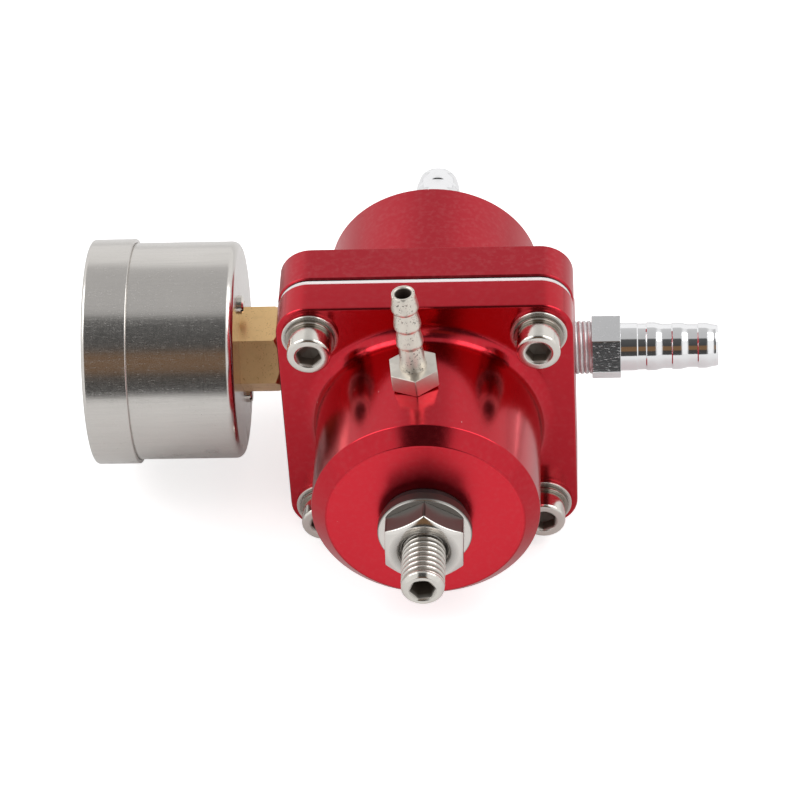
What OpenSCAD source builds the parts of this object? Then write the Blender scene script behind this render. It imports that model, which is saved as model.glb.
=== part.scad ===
// Return-style fuel pressure regulator with a side-mounted pressure gauge.
// Millimetres. +X points out of the inlet, +Y out of the return, +Z up.
// The part rests on its flange edges: z = 0 is the foot, x = y = 0 the middle of the base flange.

/* [Flanges] */
// Side of the square flanges
flange_w = 55; // [50:0.5:62]
// Corner radius of the flanges
flange_corner_r = 6.2; // [4:0.1:7]
// Thickness of the base body's flange
base_flange_t = 8.8; // [7.5:0.1:10]
// Thickness of the spring cap's flange
cap_flange_t = 7.6; // [7:0.1:10]
// Edge break around each flange
flange_edge = 0.3; // [0.2:0.1:1]
// Distance from a flange edge to a cap screw's centre
bolt_inset = 6.4; // [5.5:0.1:7]
// Gap between a cap screw's washer and the fillet of the cap barrel
washer_gap = 0.74; // [0.5:0.02:2]

/* [Spring cap] */
// Length of the cap from its joint face
cap_len = 35.2; // [34:0.2:40]
// Chamfer at the cap's front end
cap_chamfer = 2.7; // [0.5:0.1:4]
// Fillet between flange and barrel
cap_fillet = 2.8; // [1:0.1:4]
// Gap between the spring button and the chamber wall
chamber_gap = 3.3; // [1:0.1:4]
// Thickness of the cap's front wall
cap_end_t = 6; // [5:0.2:7]

/* [Base body] */
// Outside diameter of the base barrel
base_d = 40.8; // [40:0.2:44]
// Length of the base from its joint face
base_len = 35.9; // [34:0.2:40]
// Chamfer at the base's rear end
base_chamfer = 0.6; // [0.2:0.1:2]
// Diameter of the side port bosses
port_boss_d = 19; // [17:0.2:20]
// Depth of the inlet port's axis behind the joint face
inlet_port_depth = 11.3; // [10.5:0.1:12.5]
// Depth of the gauge port's axis behind the joint face
gauge_port_depth = 12.4; // [11.5:0.1:13.5]
// Diameter of the fuel chamber around the return seat
fuel_chamber_d = 22; // [20:0.2:23]
// Depth of the fuel chamber behind the joint face
fuel_chamber_depth = 18; // [17:0.2:20]
// Spacing of the two bracket screw holes in the rear face
bracket_spacing = 28; // [26:0.5:30]
// Tap diameter of the bracket screw holes
bracket_hole_d = 4.2; // [3.3:0.1:5]
// Depth of the bracket screw holes
bracket_hole_depth = 9; // [6:0.5:12]

/* [Diaphragm and valve] */
// Thickness of the diaphragm
diaphragm_t = 1.2; // [0.6:0.1:1.4]
// How far the diaphragm's edge lies inside the flange edge
diaphragm_inset = 0.3; // [0.2:0.1:1]
// Radius of the diaphragm's convolution at mid-thickness
convolution_r = 2; // [1.6:0.1:2.4]
// Gap between the convolution and the plates inside it
convolution_gap = 0.4; // [0.2:0.1:1]
// Gap between the convolution and the wall of its cavity
cavity_gap = 0.6; // [0.4:0.1:2]
// Depth of the cavity on the fuel side
cavity_depth = 4; // [3:0.1:5]
// Rim of the spring plate outside the spring
plate_rim = 0.5; // [0.2:0.1:1]
// Thickness of the spring plate and backing plate
plate_t = 1.2; // [0.8:0.1:1.5]
// Diameter of the valve stud's shank
stud_d = 5; // [4:0.1:5.5]
// Diameter of the valve stud's head
stud_head_d = 9; // [8:0.1:10]
// Height of the valve stud's head
stud_head_t = 3.6; // [3.2:0.1:4.2]
// Diameter of the valve ball
ball_d = 5; // [4.5:0.1:5.6]
// How far the ball's middle lies inside the stud's head
ball_sink = 0.7; // [0.5:0.1:0.9]
// Height of the flat that is cut off the ball
ball_cut = 1.1; // [0.8:0.1:1.3]
// Bore of the return seat
seat_bore_d = 3.2; // [2:0.1:3.4]
// Outside diameter of the return seat tube
seat_d = 6.8; // [6:0.1:7.4]
// Gap from the return seat's end to the return port
seat_back_gap = 0.9; // [0.5:0.1:3]

/* [Main spring] */
// Wire diameter of the spring
wire_d = 2.4; // [2:0.1:2.7]
// Mean coil diameter
coil_d = 20; // [18:0.1:22]
// Smallest pitch of the open turns
coil_pitch = 3; // [2.8:0.1:5]

/* [Adjuster] */
// Thread diameter of the adjusting screw
screw_d = 8; // [7:0.5:8.5]
// How far the screw stands out of the cap at the modelled setting
screw_standout = 18.5; // [17:0.5:22]
// Key size of the screw's hexagon socket
screw_socket_af = 4; // [3:0.5:4.5]
// Depth of the screw's socket
screw_socket_depth = 5; // [3:0.5:7]
// Gap from the spring button to the cap's front wall at the modelled setting
adjust_gap = 4.8; // [4.6:0.1:6]
// Thickness of the spring button
button_t = 2.6; // [2:0.1:3.4]
// Thickness of the seal ring under the washer
seal_t = 1.8; // [1:0.1:2.4]
// Outside diameter of the seal ring
seal_od = 16.2; // [15:0.1:17]
// Thickness of the washer under the lock nut
lock_washer_t = 2; // [1.2:0.1:2.6]
// Outside diameter of the washer under the lock nut
lock_washer_d = 17.3; // [16:0.1:19]
// Width across flats of the lock nut
nut_af = 14.2; // [13:0.1:15]
// Height of the lock nut
nut_t = 4.9; // [4.5:0.1:6.5]

/* [Cap screws] */
// Thread diameter of the cap screws
bolt_d = 5; // [4.5:0.1:5.2]
// How far a cap screw's end stays inside the base flange
bolt_back = 1.8; // [0.5:0.1:4]
// Head diameter
bolt_head_d = 8.1; // [7.6:0.1:8.8]
// Head height
bolt_head_h = 4.2; // [4:0.1:5.2]
// Key size of the head's socket
bolt_socket_af = 4; // [3:0.1:4.4]
// Flat washer diameter
flat_washer_d = 10.6; // [9.6:0.1:10.8]
// Flat washer thickness
flat_washer_t = 0.8; // [0.6:0.1:1.4]
// Spring washer diameter
spring_washer_d = 9.2; // [8.6:0.1:9.4]
// Spring washer thickness
spring_washer_t = 1; // [0.8:0.1:1.4]

/* [Hose barbs] */
// Thread diameter of the taper pipe thread at the port face
pipe_d = 10.2; // [9.8:0.1:10.6]
// Length of pipe thread inside a port
pipe_engage = 7; // [6:0.2:8]
// Length of pipe thread that stands out of a port
pipe_stand = 3.2; // [2.5:0.1:4]
// Width across flats of the fitting's hexagon
barb_hex_af = 11.1; // [10.6:0.1:12]
// Length of the fitting's hexagon
barb_hex_len = 5.5; // [4.5:0.1:6.5]
// Turn of the hexagon about its axis
barb_hex_turn = 10; // [0:1:60]
// Diameter of the neck next to the hexagon
barb_neck_d = 9.2; // [8.6:0.1:9.4]
// Length of the neck
barb_neck_len = 3.3; // [2.5:0.1:4]
// Length of the thin stretch between the neck and the first barb
barb_lead = 1.6; // [1:0.1:2.4]
// Largest diameter of the first barb
barb_d = 9.3; // [8.6:0.1:9.4]
// How much smaller each next barb is
barb_step_d = 0.3; // [0:0.05:0.4]
// Depth of a barb's step
barb_depth = 0.2; // [0.15:0.05:0.5]
// Length of a barb's land
barb_land = 1.7; // [1.2:0.05:2.2]
// Length of the slope behind a barb
barb_slope = 1.7; // [1.2:0.1:2]
// Distance from one barb to the next
barb_pitch = 4.9; // [4.4:0.1:5.5]
// Bore of the fitting
barb_bore_d = 6; // [5:0.1:6.2]

/* [Vacuum nipple] */
// Distance of the nipple's axis from the cap's joint face
nipple_pos = 20.2; // [18:0.2:24]
// Lean of the nipple about the body axis
nipple_lean = 3.5; // [0:0.5:15]
// Thread diameter of the nipple
nipple_thread_d = 5.8; // [5:0.1:6]
// Width across flats of the nipple's hexagon
nipple_hex_af = 8.5; // [8:0.1:9]
// Turn of the nipple's hexagon about its axis
nipple_hex_turn = 6; // [0:1:30]
// Height of the nipple's hexagon
nipple_hex_h = 3.6; // [3:0.1:5]
// Length of the nipple above its hexagon
nipple_len = 17; // [15:0.5:20]
// Diameter of the nipple where it meets its hexagon
nipple_foot_d = 4.9; // [4.4:0.1:5.6]
// Length of the tapered foot above the nipple's hexagon
nipple_lead = 4.8; // [1.5:0.1:6]
// Length of a nipple barb's land
nipple_land = 1; // [0.6:0.1:1.6]
// Largest diameter of a nipple barb
nipple_barb_d = 5; // [4.5:0.1:5.6]
// Diameter between the nipple's barbs
nipple_root_d = 4.2; // [4:0.1:4.4]
// Bore of the nipple
nipple_bore_d = 2.8; // [1.5:0.1:3]

/* [Gauge housing] */
// Wall thickness of the bezel
bezel_wall = 0.75; // [0.5:0.05:1.2]
// Width of the bezel's lip over the lens
bezel_lip = 1.4; // [0.8:0.1:2.5]
// Length of the bezel
bezel_len = 8.5; // [7.5:0.1:10]
// Outside diameter of the case
case_d = 41.8; // [38:0.1:46]
// Depth of the gauge from the case back to the bezel's front
gauge_depth = 28.6; // [25:0.1:32]
// Wall thickness of the case
case_wall = 0.7; // [0.5:0.1:0.8]
// Rounding of the case's back edge
case_round = 1.6; // [1:0.1:2.5]
// Length of gauge thread that stands out of the port
gauge_stand = 1.5; // [1:0.1:3]
// Width across flats of the gauge's hexagon
gauge_hex_af = 15; // [13:0.1:16]
// Length of the gauge's hexagon
gauge_hex_len = 7.5; // [6:0.1:9]
// Turn of the gauge's hexagon about its axis
gauge_hex_turn = 51; // [0:1:60]
// Diameter of the socket's neck in the case back
gauge_neck_d = 10; // [9:0.1:11]
// Diameter of the socket's block inside the case
gauge_block_d = 13; // [12:0.1:14]
// Distance of the case screws from the gauge axis
case_screw_pos = 11.2; // [10.4:0.1:12.6]
// Thread diameter of the case screws
case_screw_d = 2; // [1.6:0.1:2.4]
// Head diameter of the case screws
case_head_d = 3.6; // [3.2:0.1:4]
// Head height of the case screws
case_head_h = 1; // [0.8:0.1:1.4]
// Thickness of the lens
lens_t = 2; // [1.5:0.1:2.2]
// Thickness of the lens gasket
gasket_t = 0.5; // [0.4:0.1:0.8]
// Gap between the dial's edge and the case
dial_edge_gap = 0.6; // [0.2:0.1:1.5]
// Gap between the dial's face and the lens
dial_room = 4.6; // [4:0.1:6]

/* [Gauge movement] */
// Gear module of sector and pinion
gear_module = 0.3; // [0.28:0.01:0.31]
// Teeth on the pinion
pinion_teeth = 12; // [12:1:12]
// Teeth on the sector's full circle
sector_teeth = 60; // [60:1:60]
// Travel of the pointer in degrees
pointer_travel = 270; // [240:5:270]
// Radius of the sector's tail
tail_r = 3.2; // [2.8:0.1:3.6]
// Distance from the case wall to the middle of the Bourdon tube
tube_gap = 5.7; // [5.2:0.1:6.2]
// Width of the Bourdon tube along the gauge axis
tube_w = 4.4; // [4:0.1:5]
// Thickness of the Bourdon tube
tube_t = 1.8; // [1.6:0.1:2]
// Length of the pointer from its axis
pointer_len = 15; // [12:0.5:17]
// Distance of the stop pin from the pointer's tip, along the pointer
stop_back = 4; // [3:0.5:6]
// Head diameter of the dial screws
dial_head_d = 2.4; // [2:0.1:3]

/* [Hidden] */
$fn = 64;

// Fits shared by the pieces
thread_clear = 0.05;
run_clear = 0.05;
slip_clear = 0.05;
pass_clear = 0.25;
touch_gap = 0.03;
coil_gap = 0.3;
small_edge = 0.3;
end_edge = 0.5;
cut = 1;
root3 = sqrt(3);

// Diameters that follow from their neighbours, from the spring outward
plate_d = coil_d + wire_d + 2 * plate_rim;
spring_chamber_d = plate_d + 2 * chamber_gap;
convolution_out = convolution_r + diaphragm_t / 2;
convolution_in = convolution_r - diaphragm_t / 2;
convolution_d = plate_d + 2 * (convolution_gap + convolution_out);
cavity_d = convolution_d + 2 * (convolution_out + cavity_gap);
cap_d = 2 * (sqrt(2) * (flange_w / 2 - bolt_inset) - flat_washer_d / 2 - washer_gap - cap_fillet);

// Stations along the body axis, measured forward from the base's joint face
cap_joint_z = diaphragm_t;
cap_flange_z = cap_joint_z + cap_flange_t;
cap_face_z = cap_joint_z + cap_len;
chamber_top_z = cap_face_z - cap_end_t;
button_top_z = chamber_top_z - adjust_gap;
button_low_z = button_top_z - button_t;
screw_seat = 0.8;
screw_point = 0.9;
screw_mouth = 0.15;
nut_mouth = 0.9;
screw_in_z = button_top_z - screw_seat;
screw_out_z = cap_face_z + screw_standout;
plate_top_z = diaphragm_t + plate_t;
seal_top_z = cap_face_z + seal_t;
washer_top_z = seal_top_z + lock_washer_t;
nut_top_z = washer_top_z + nut_t;

bolt_pos = flange_w / 2 - bolt_inset;
bolt_seat_z = cap_flange_z + flat_washer_t + spring_washer_t;
bolt_len = bolt_seat_z + base_flange_t - bolt_back;
bolt_web = 2;
washer_split = 14;
washer_turn = 200;
bolt_spots = [for (sx = [-1, 1], sy = [-1, 1]) [sx * bolt_pos, sy * bolt_pos]];

// Diaphragm stack
valve_room = 1.4;
cavity_rise = convolution_out + valve_room;
boss_h = 1.6;
boss_d = coil_d - wire_d - 2 * coil_gap;
stud_nut_t = 2.4;
stud_nut_af = stud_d + 3;
stud_end = 0.8;
ball_z = -plate_t - stud_head_t + ball_sink;
ball_flat_z = ball_z - ball_d / 2 + ball_cut;
seat_shoulder_d = seat_d + 3;
seat_shoulder_t = 1.6;

// Ports
pipe_taper = 1 / 32;
port_extra = 1;
passage_d = 6;
seat_press_len = base_len - pipe_engage - port_extra - fuel_chamber_depth - seat_back_gap;
barb_count = 3;
barb_tip = 0.15;

// Spring
spring_low_z = plate_top_z + touch_gap;
spring_len = button_low_z - touch_gap - spring_low_z;
coil_steps = 24;
wire_sides = 8;
end_pitch = wire_d + 0.1;
coil_rise = spring_len - wire_d - 2 * end_pitch;
coil_open = floor(2 * coil_rise / coil_pitch) / 2;
coil_turns = coil_open + 2;

// Nipple
nipple_seat_r = cap_d / 2 + touch_gap;
nipple_barbs = 3;
nipple_barb_pitch = (nipple_len - nipple_lead) / nipple_barbs;
nipple_runout = 0.6;
nipple_rise = 0.7;
nipple_tip = 0.1;

// Gauge stations, measured outward from the port face
case_back_z = gauge_stand + gauge_hex_len;
case_in_z = case_back_z + case_wall;
gauge_front_z = case_back_z + gauge_depth;
bezel_d = case_d + 2 * (slip_clear + bezel_wall);
lens_top_z = gauge_front_z - bezel_wall - touch_gap;
lens_low_z = lens_top_z - lens_t;
case_rim_z = lens_low_z - gasket_t;
bezel_low_z = gauge_front_z - bezel_len;
case_bore_r = case_d / 2 - case_wall;
dial_d = 2 * (case_bore_r - dial_edge_gap);
tube_r = case_bore_r - tube_gap;
yoke_t = 1.6;
yoke_w = 7;
arm_w = 4.4;
gauge_hex_edge = 0.9;
gauge_bore_d = 2.8;
tube_feed_d = 1.4;
movement_gap = 0.6;
seat_gap = 0.2;
tube_low_z = case_in_z + yoke_t + movement_gap;
block_top_z = tube_low_z + tube_w + seat_gap;
back_plate_z = block_top_z;
movement_plate_t = 1;
hairspring_z = back_plate_z + movement_plate_t + movement_gap;
hairspring_w = 0.6;
hairspring_t = 0.16;
hairspring_r = 4;
hairspring_turns = 4;
sector_z = hairspring_z + hairspring_w + movement_gap;
sector_t = 1;
link_z = sector_z + sector_t + seat_gap;
link_t = 0.7;
front_plate_z = link_z + link_t + movement_gap;
dial_t = 0.6;
dial_z = lens_low_z - dial_room - dial_t;
dial_head_t = 0.5;
pointer_z = dial_z + dial_t + dial_head_t + movement_gap;
pointer_t = 0.5;
hub_h = 1.5;
hub_d = 3;
pointer_w = 1.5;
pointer_tail = 4;
pointer_rest = 225;
stop_d = 0.9;
pointer_tip_w = pointer_w / 4;
stop_at = [pointer_len - stop_back,
           (pointer_tip_w + (pointer_w - pointer_tip_w) * stop_back / pointer_len + stop_d) / 2
               + 2 * slip_clear];
dial_screw_d = 1.4;
dial_shank = 1.6;
slot_w = 0.5;

// Gear pair
pressure_angle = 20;
gear_backlash = 0.06;
pinion_pr = gear_module * pinion_teeth / 2;
sector_pr = gear_module * sector_teeth / 2;
gear_centres = pinion_pr + sector_pr;
pinion_addendum = gear_module;
sector_addendum = 0.7 * gear_module;
gear_dedendum = 1.25 * gear_module;
sector_turn = pointer_travel * pinion_teeth / sector_teeth;
tooth_step = 360 / sector_teeth;
sector_tooth_count = ceil(sector_turn / tooth_step) + 4;
arbor_r = 0.6;
pivot_r = 0.8;
tail_pin_r = 0.4;
tail_w = 1.8;
spoke_w = 1.2;
sector_rim = 1.6;
link_w = 1.6;
link_rim = 0.7;
tip_pin_r = 0.6;
tip_post = 1.8;
tail_rest = 282 - sector_turn / 2;
tail_at = [tail_r * cos(tail_rest), tail_r * sin(tail_rest) - gear_centres];
tube_start = -20;
tube_wall = 0.3;
tube_end = 250;
arm_at = tube_end + asin((arm_w / 2 + slip_clear) / (tube_r - tube_t / 2));
tip_size = 2.6;
tip_at = tube_r * [cos(tube_start), sin(tube_start)] + tip_size / 2 * [sin(tube_start), -cos(tube_start)];
post_at = [6, 5];
post_r = 1.2;
plate_edge = 2;

// Frames: each piece is drawn along its own axis and set in place here.

// z runs forward along the body axis from the base's joint face, y up
module on_body() {
    translate([0, -base_flange_t / 2, flange_w / 2]) rotate([90, 0, 0]) children();
}

// z runs out of a side port from its face, side = 1 inlet, -1 gauge
module on_port(side, depth) {
    on_body() translate([side * flange_w / 2, 0, -depth]) rotate([0, side * 90, 0]) children();
}

// z runs out of the return port from the rear face
module on_return() {
    on_body() translate([0, 0, -base_len]) rotate([180, 0, 0]) children();
}

// z runs out of the gauge port to the dial, x right and y up as the dial is read
module on_gauge() {
    translate([-flange_w / 2, gauge_port_depth - base_flange_t / 2, flange_w / 2])
        rotate([90, 0, -90]) children();
}

// z runs outward along the nipple from the body axis
module on_nipple() {
    on_body() translate([0, 0, cap_joint_z + nipple_pos]) rotate([-90, 0, nipple_lean]) children();
}

module at_bolts() {
    for (p = bolt_spots) translate([p.x, p.y, 0]) children();
}

// Shapes used by more than one piece

module tube(d_out, d_in, h) {
    difference() {
        cylinder(d = d_out, h = h);
        translate([0, 0, -cut]) cylinder(d = d_in, h = h + 2 * cut);
    }
}

module hexagon(af, h) {
    cylinder(d = 2 * af / root3, h = h, $fn = 6);
}

// Round bar with a chamfer at either end
module bar(d, h, low = 0, high = 0) {
    r = d / 2;
    rotate_extrude()
        polygon([[0, 0], [r - low, 0], [r, low], [r, h - high], [r - high, h], [0, h]]);
}

// Square plate with round corners and broken edges
module flange_plate(w, r, t, edge) {
    side = w / 2;
    run = w - 2 * r;
    outline = [[-side, edge], [-side + edge, 0], [side - edge, 0], [side, edge],
               [side, t - edge], [side - edge, t], [-side + edge, t], [-side, t - edge]];
    for (a = [0, 90]) rotate([0, 0, a])
        translate([0, run / 2, 0]) rotate([90, 0, 0]) linear_extrude(run) polygon(outline);
    for (sx = [-1, 1], sy = [-1, 1])
        translate([sx * run / 2, sy * run / 2, 0]) bar(2 * r, t, edge, edge);
}

// Taper pipe thread's envelope from low to high, both measured from the port face
module pipe_cone(low, high, grow) {
    r = pipe_d / 2 + grow;
    translate([0, 0, low])
        cylinder(r1 = r + low * pipe_taper, r2 = r + high * pipe_taper, h = high - low);
}

// Threaded port seen from its face, with a passage that runs on to the chamber
module port_cut(reach) {
    pipe_cone(-pipe_engage - port_extra, cut, thread_clear);
    translate([0, 0, -reach]) cylinder(d = passage_d, h = reach);
}

// Barbed hose fitting, z = 0 at the port face
module hose_barb() {
    hex_z = pipe_stand;
    neck_z = hex_z + barb_hex_len;
    first_z = neck_z + barb_neck_len + barb_lead;
    cone_z = neck_z + barb_neck_len - barb_depth;
    outline = [
        for (i = [0 : barb_count - 1])
            let (r = (barb_d - i * barb_step_d) / 2, z = first_z + i * barb_pitch)
            each [[r - barb_depth, z], [r, z], [r, z + barb_land],
                  [r - barb_depth - barb_step_d / 2, z + barb_land + barb_slope]]];
    last = outline[len(outline) - 1];
    tip_z = last.y + end_edge;
    difference() {
        union() {
            pipe_cone(-pipe_engage, hex_z, 0);
            translate([0, 0, hex_z]) rotate([0, 0, barb_hex_turn]) hexagon(barb_hex_af, barb_hex_len);
            rotate_extrude()
                polygon(concat([[0, neck_z], [barb_neck_d / 2, neck_z],
                                [barb_neck_d / 2, cone_z],
                                [barb_d / 2 - barb_depth, neck_z + barb_neck_len]],
                               outline, [[last.x - barb_tip, tip_z], [0, tip_z]]));
        }
        translate([0, 0, -pipe_engage - cut]) cylinder(d = barb_bore_d, h = pipe_engage + tip_z + 2 * cut);
    }
}

// Body pieces

module base_body() {
    color([0.72, 0.1, 0.14]) difference() {
        union() {
            on_body() {
                translate([0, 0, -base_flange_t])
                    flange_plate(flange_w, flange_corner_r, base_flange_t, flange_edge);
                translate([0, 0, -base_len]) bar(base_d, base_len - cut, base_chamfer, 0);
            }
            for (side = [-1, 1]) on_port(side, side > 0 ? inlet_port_depth : gauge_port_depth)
                translate([0, 0, -flange_w / 2]) cylinder(d = port_boss_d, h = flange_w / 2);
        }
        on_body() {
            translate([0, 0, -cavity_depth]) cylinder(d = cavity_d, h = cavity_depth + cut);
            translate([0, 0, -fuel_chamber_depth])
                cylinder(d = fuel_chamber_d, h = fuel_chamber_depth);
            translate([0, 0, -base_len + pipe_engage])
                cylinder(d = seat_d + 2 * slip_clear, h = base_len - pipe_engage - cut);
            at_bolts() translate([0, 0, -base_flange_t - cut])
                cylinder(d = bolt_d + 2 * thread_clear, h = base_flange_t + 2 * cut);
            for (sx = [-1, 1])
                translate([sx * bracket_spacing / 2, 0, -base_len - cut])
                    cylinder(d = bracket_hole_d, h = bracket_hole_depth + cut);
        }
        on_port(1, inlet_port_depth) port_cut(flange_w / 2 - fuel_chamber_d / 2 + 2 * cut);
        on_port(-1, gauge_port_depth) port_cut(flange_w / 2 - fuel_chamber_d / 2 + 2 * cut);
        on_return() pipe_cone(-pipe_engage - port_extra, cut, thread_clear);
    }
}

module spring_cap() {
    wall_r = cap_d / 2;
    color([0.72, 0.1, 0.14]) difference() {
        on_body() translate([0, 0, cap_joint_z]) {
            flange_plate(flange_w, flange_corner_r, cap_flange_t, flange_edge);
            bar(cap_d, cap_len, 0, cap_chamfer);
            translate([0, 0, cap_flange_t]) rotate_extrude() difference() {
                translate([wall_r - cut, -cut]) square([cap_fillet + cut, cap_fillet + cut]);
                translate([wall_r + cap_fillet, cap_fillet]) circle(r = cap_fillet);
            }
        }
        on_body() {
            translate([0, 0, cap_joint_z - cut]) cylinder(d = cavity_d, h = cavity_rise + cut);
            translate([0, 0, cap_joint_z]) cylinder(d = spring_chamber_d, h = chamber_top_z - cap_joint_z);
            cylinder(d = screw_d + 2 * run_clear, h = cap_face_z + cut);
            at_bolts() cylinder(d = bolt_d + 2 * pass_clear, h = cap_flange_z + cut);
        }
        on_nipple() cylinder(d = nipple_thread_d + 2 * thread_clear, h = cap_d);
    }
}

module diaphragm() {
    out_r = convolution_out;
    in_r = convolution_in;
    mid = convolution_d / 2;
    edge = diaphragm_t / 8;
    color([0.08, 0.08, 0.09]) on_body() difference() {
        union() {
            difference() {
                flange_plate(flange_w - 2 * diaphragm_inset, flange_corner_r - diaphragm_inset,
                             diaphragm_t, edge);
                translate([0, 0, -cut]) cylinder(r = mid + in_r, h = diaphragm_t + 2 * cut);
            }
            cylinder(r = mid - in_r, h = diaphragm_t);
            rotate_extrude() translate([mid, 0]) difference() {
                circle(r = out_r);
                circle(r = in_r);
                translate([-2 * out_r, -4 * out_r]) square([4 * out_r, 4 * out_r]);
            }
        }
        translate([0, 0, -cut]) cylinder(d = stud_d + 2 * slip_clear, h = diaphragm_t + 2 * cut);
        at_bolts() translate([0, 0, -cut])
            cylinder(d = bolt_d + 2 * pass_clear, h = diaphragm_t + 2 * cut);
    }
}

module spring_plate() {
    color([0.75, 0.72, 0.6]) on_body() translate([0, 0, diaphragm_t]) difference() {
        union() {
            bar(plate_d, plate_t, 0, small_edge);
            bar(boss_d, plate_t + boss_h, 0, small_edge);
        }
        translate([0, 0, -cut]) cylinder(d = stud_d + 2 * slip_clear, h = plate_t + boss_h + 2 * cut);
    }
}

module backing_plate() {
    color([0.75, 0.72, 0.6]) on_body() translate([0, 0, -plate_t])
        difference() {
            bar(plate_d, plate_t, small_edge, 0);
            translate([0, 0, -cut]) cylinder(d = stud_d + 2 * slip_clear, h = plate_t + 2 * cut);
        }
}

module valve_stud() {
    shank = plate_t + plate_top_z + boss_h + stud_nut_t + stud_end;
    color([0.78, 0.78, 0.8]) on_body() translate([0, 0, -plate_t]) difference() {
        union() {
            translate([0, 0, -stud_head_t]) bar(stud_head_d, stud_head_t, end_edge, small_edge);
            bar(stud_d, shank, 0, end_edge);
        }
        translate([0, 0, ball_z + plate_t]) sphere(d = ball_d + 2 * run_clear);
    }
}

module stud_nut() {
    color([0.78, 0.78, 0.8]) on_body() translate([0, 0, plate_top_z + boss_h]) difference() {
        hexagon(stud_nut_af, stud_nut_t);
        translate([0, 0, -cut]) cylinder(d = stud_d + 2 * thread_clear, h = stud_nut_t + 2 * cut);
    }
}

module valve_ball() {
    color([0.85, 0.85, 0.87]) on_body() difference() {
        translate([0, 0, ball_z]) sphere(d = ball_d);
        translate([-ball_d, -ball_d, ball_flat_z - 2 * ball_d]) cube(2 * ball_d);
    }
}

module return_seat() {
    reach = fuel_chamber_depth + ball_flat_z - touch_gap;
    color([0.72, 0.56, 0.3]) on_body() translate([0, 0, -fuel_chamber_depth]) difference() {
        union() {
            translate([0, 0, -seat_press_len]) bar(seat_d, seat_press_len + reach, end_edge, end_edge);
            cylinder(d = seat_shoulder_d, h = seat_shoulder_t);
        }
        translate([0, 0, -seat_press_len - cut])
            cylinder(d = seat_bore_d, h = seat_press_len + reach + 2 * cut);
    }
}

// Closed-end coil: one flat turn at each end, even pitch between
function coil_z(t) =
    wire_d / 2 + end_pitch * min(t, 1) + coil_rise / coil_open * min(max(t - 1, 0), coil_open)
    + end_pitch * max(t - coil_open - 1, 0);

function coil_point(i, k) =
    let (t = i / coil_steps, a = 360 * t, b = 360 * k / wire_sides,
         r = coil_d / 2 + wire_d / 2 * cos(b))
    [r * cos(a), r * sin(a), coil_z(t) + wire_d / 2 * sin(b)];

module main_spring() {
    rings = coil_turns * coil_steps;
    points = [for (i = [0 : rings], k = [0 : wire_sides - 1]) coil_point(i, k)];
    sides = [for (i = [0 : rings - 1], k = [0 : wire_sides - 1])
             let (m = (k + 1) % wire_sides, a = i * wire_sides, b = a + wire_sides)
             each [[a + k, a + m, b + k], [a + m, b + m, b + k]]];
    ends = [[for (k = [wire_sides - 1 : -1 : 0]) k],
            [for (k = [0 : wire_sides - 1]) rings * wire_sides + k]];
    color([0.45, 0.46, 0.48]) on_body() translate([0, 0, spring_low_z])
        polyhedron(points, concat(sides, ends), convexity = 10);
}

module spring_button() {
    color([0.75, 0.72, 0.6]) on_body() translate([0, 0, button_low_z]) difference() {
        union() {
            bar(plate_d, button_t, 0, end_edge);
            translate([0, 0, -boss_h]) bar(boss_d, boss_h + button_t, small_edge, end_edge);
        }
        translate([0, 0, button_t - screw_seat])
            cylinder(d = screw_d + 2 * pass_clear, h = screw_seat + cut);
    }
}

// Adjuster

module adjusting_screw() {
    len = screw_out_z - screw_in_z;
    mouth_r = screw_socket_af / root3 + screw_mouth;
    color([0.8, 0.77, 0.7]) on_body() translate([0, 0, screw_in_z]) difference() {
        bar(screw_d, len, screw_point, screw_point);
        translate([0, 0, len - screw_socket_depth]) hexagon(screw_socket_af, screw_socket_depth + cut);
        translate([0, 0, len - mouth_r + screw_socket_af / 2])
            cylinder(r1 = screw_socket_af / 2, r2 = mouth_r + cut, h = mouth_r - screw_socket_af / 2 + cut);
    }
}

module lock_nut() {
    corner_r = nut_af / root3;
    bore_r = screw_d / 2 + run_clear;
    color([0.8, 0.77, 0.7]) on_body() translate([0, 0, washer_top_z + touch_gap]) difference() {
        intersection() {
            rotate([0, 0, 90]) hexagon(nut_af, nut_t);
            bar(2 * corner_r, nut_t, 0, corner_r - nut_af / 2);
        }
        translate([0, 0, -cut]) cylinder(r = bore_r, h = nut_t + 2 * cut);
        translate([0, 0, nut_t - nut_mouth])
            cylinder(r1 = bore_r, r2 = bore_r + nut_mouth + cut, h = nut_mouth + cut);
    }
}

module lock_washer() {
    color([0.8, 0.77, 0.7]) on_body() translate([0, 0, seal_top_z]) difference() {
        bar(lock_washer_d, lock_washer_t, small_edge / 2, small_edge);
        translate([0, 0, -cut]) cylinder(d = screw_d + 2 * pass_clear, h = lock_washer_t + 2 * cut);
    }
}

module adjuster_seal() {
    color([0.07, 0.07, 0.07]) on_body() translate([0, 0, cap_face_z])
        difference() {
            bar(seal_od, seal_t, end_edge, end_edge);
            translate([0, 0, -cut]) cylinder(d = screw_d + 2 * pass_clear, h = seal_t + 2 * cut);
        }
}

// Cap screws and their washers

module cap_screws() {
    socket_h = bolt_head_h - bolt_web;
    mouth_d = 2 * bolt_socket_af / root3 + 2 * small_edge;
    mouth_h = (mouth_d - bolt_socket_af) / 2;
    color([0.8, 0.77, 0.7]) on_body() at_bolts() translate([0, 0, bolt_seat_z]) difference() {
        union() {
            bar(bolt_head_d, bolt_head_h, 0, end_edge);
            translate([0, 0, -bolt_len]) bar(bolt_d, bolt_len + cut, end_edge, 0);
        }
        translate([0, 0, bolt_head_h - socket_h]) hexagon(bolt_socket_af, socket_h + cut);
        translate([0, 0, bolt_head_h - mouth_h])
            cylinder(d1 = bolt_socket_af, d2 = mouth_d + 2 * cut, h = mouth_h + cut);
    }
}

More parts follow.
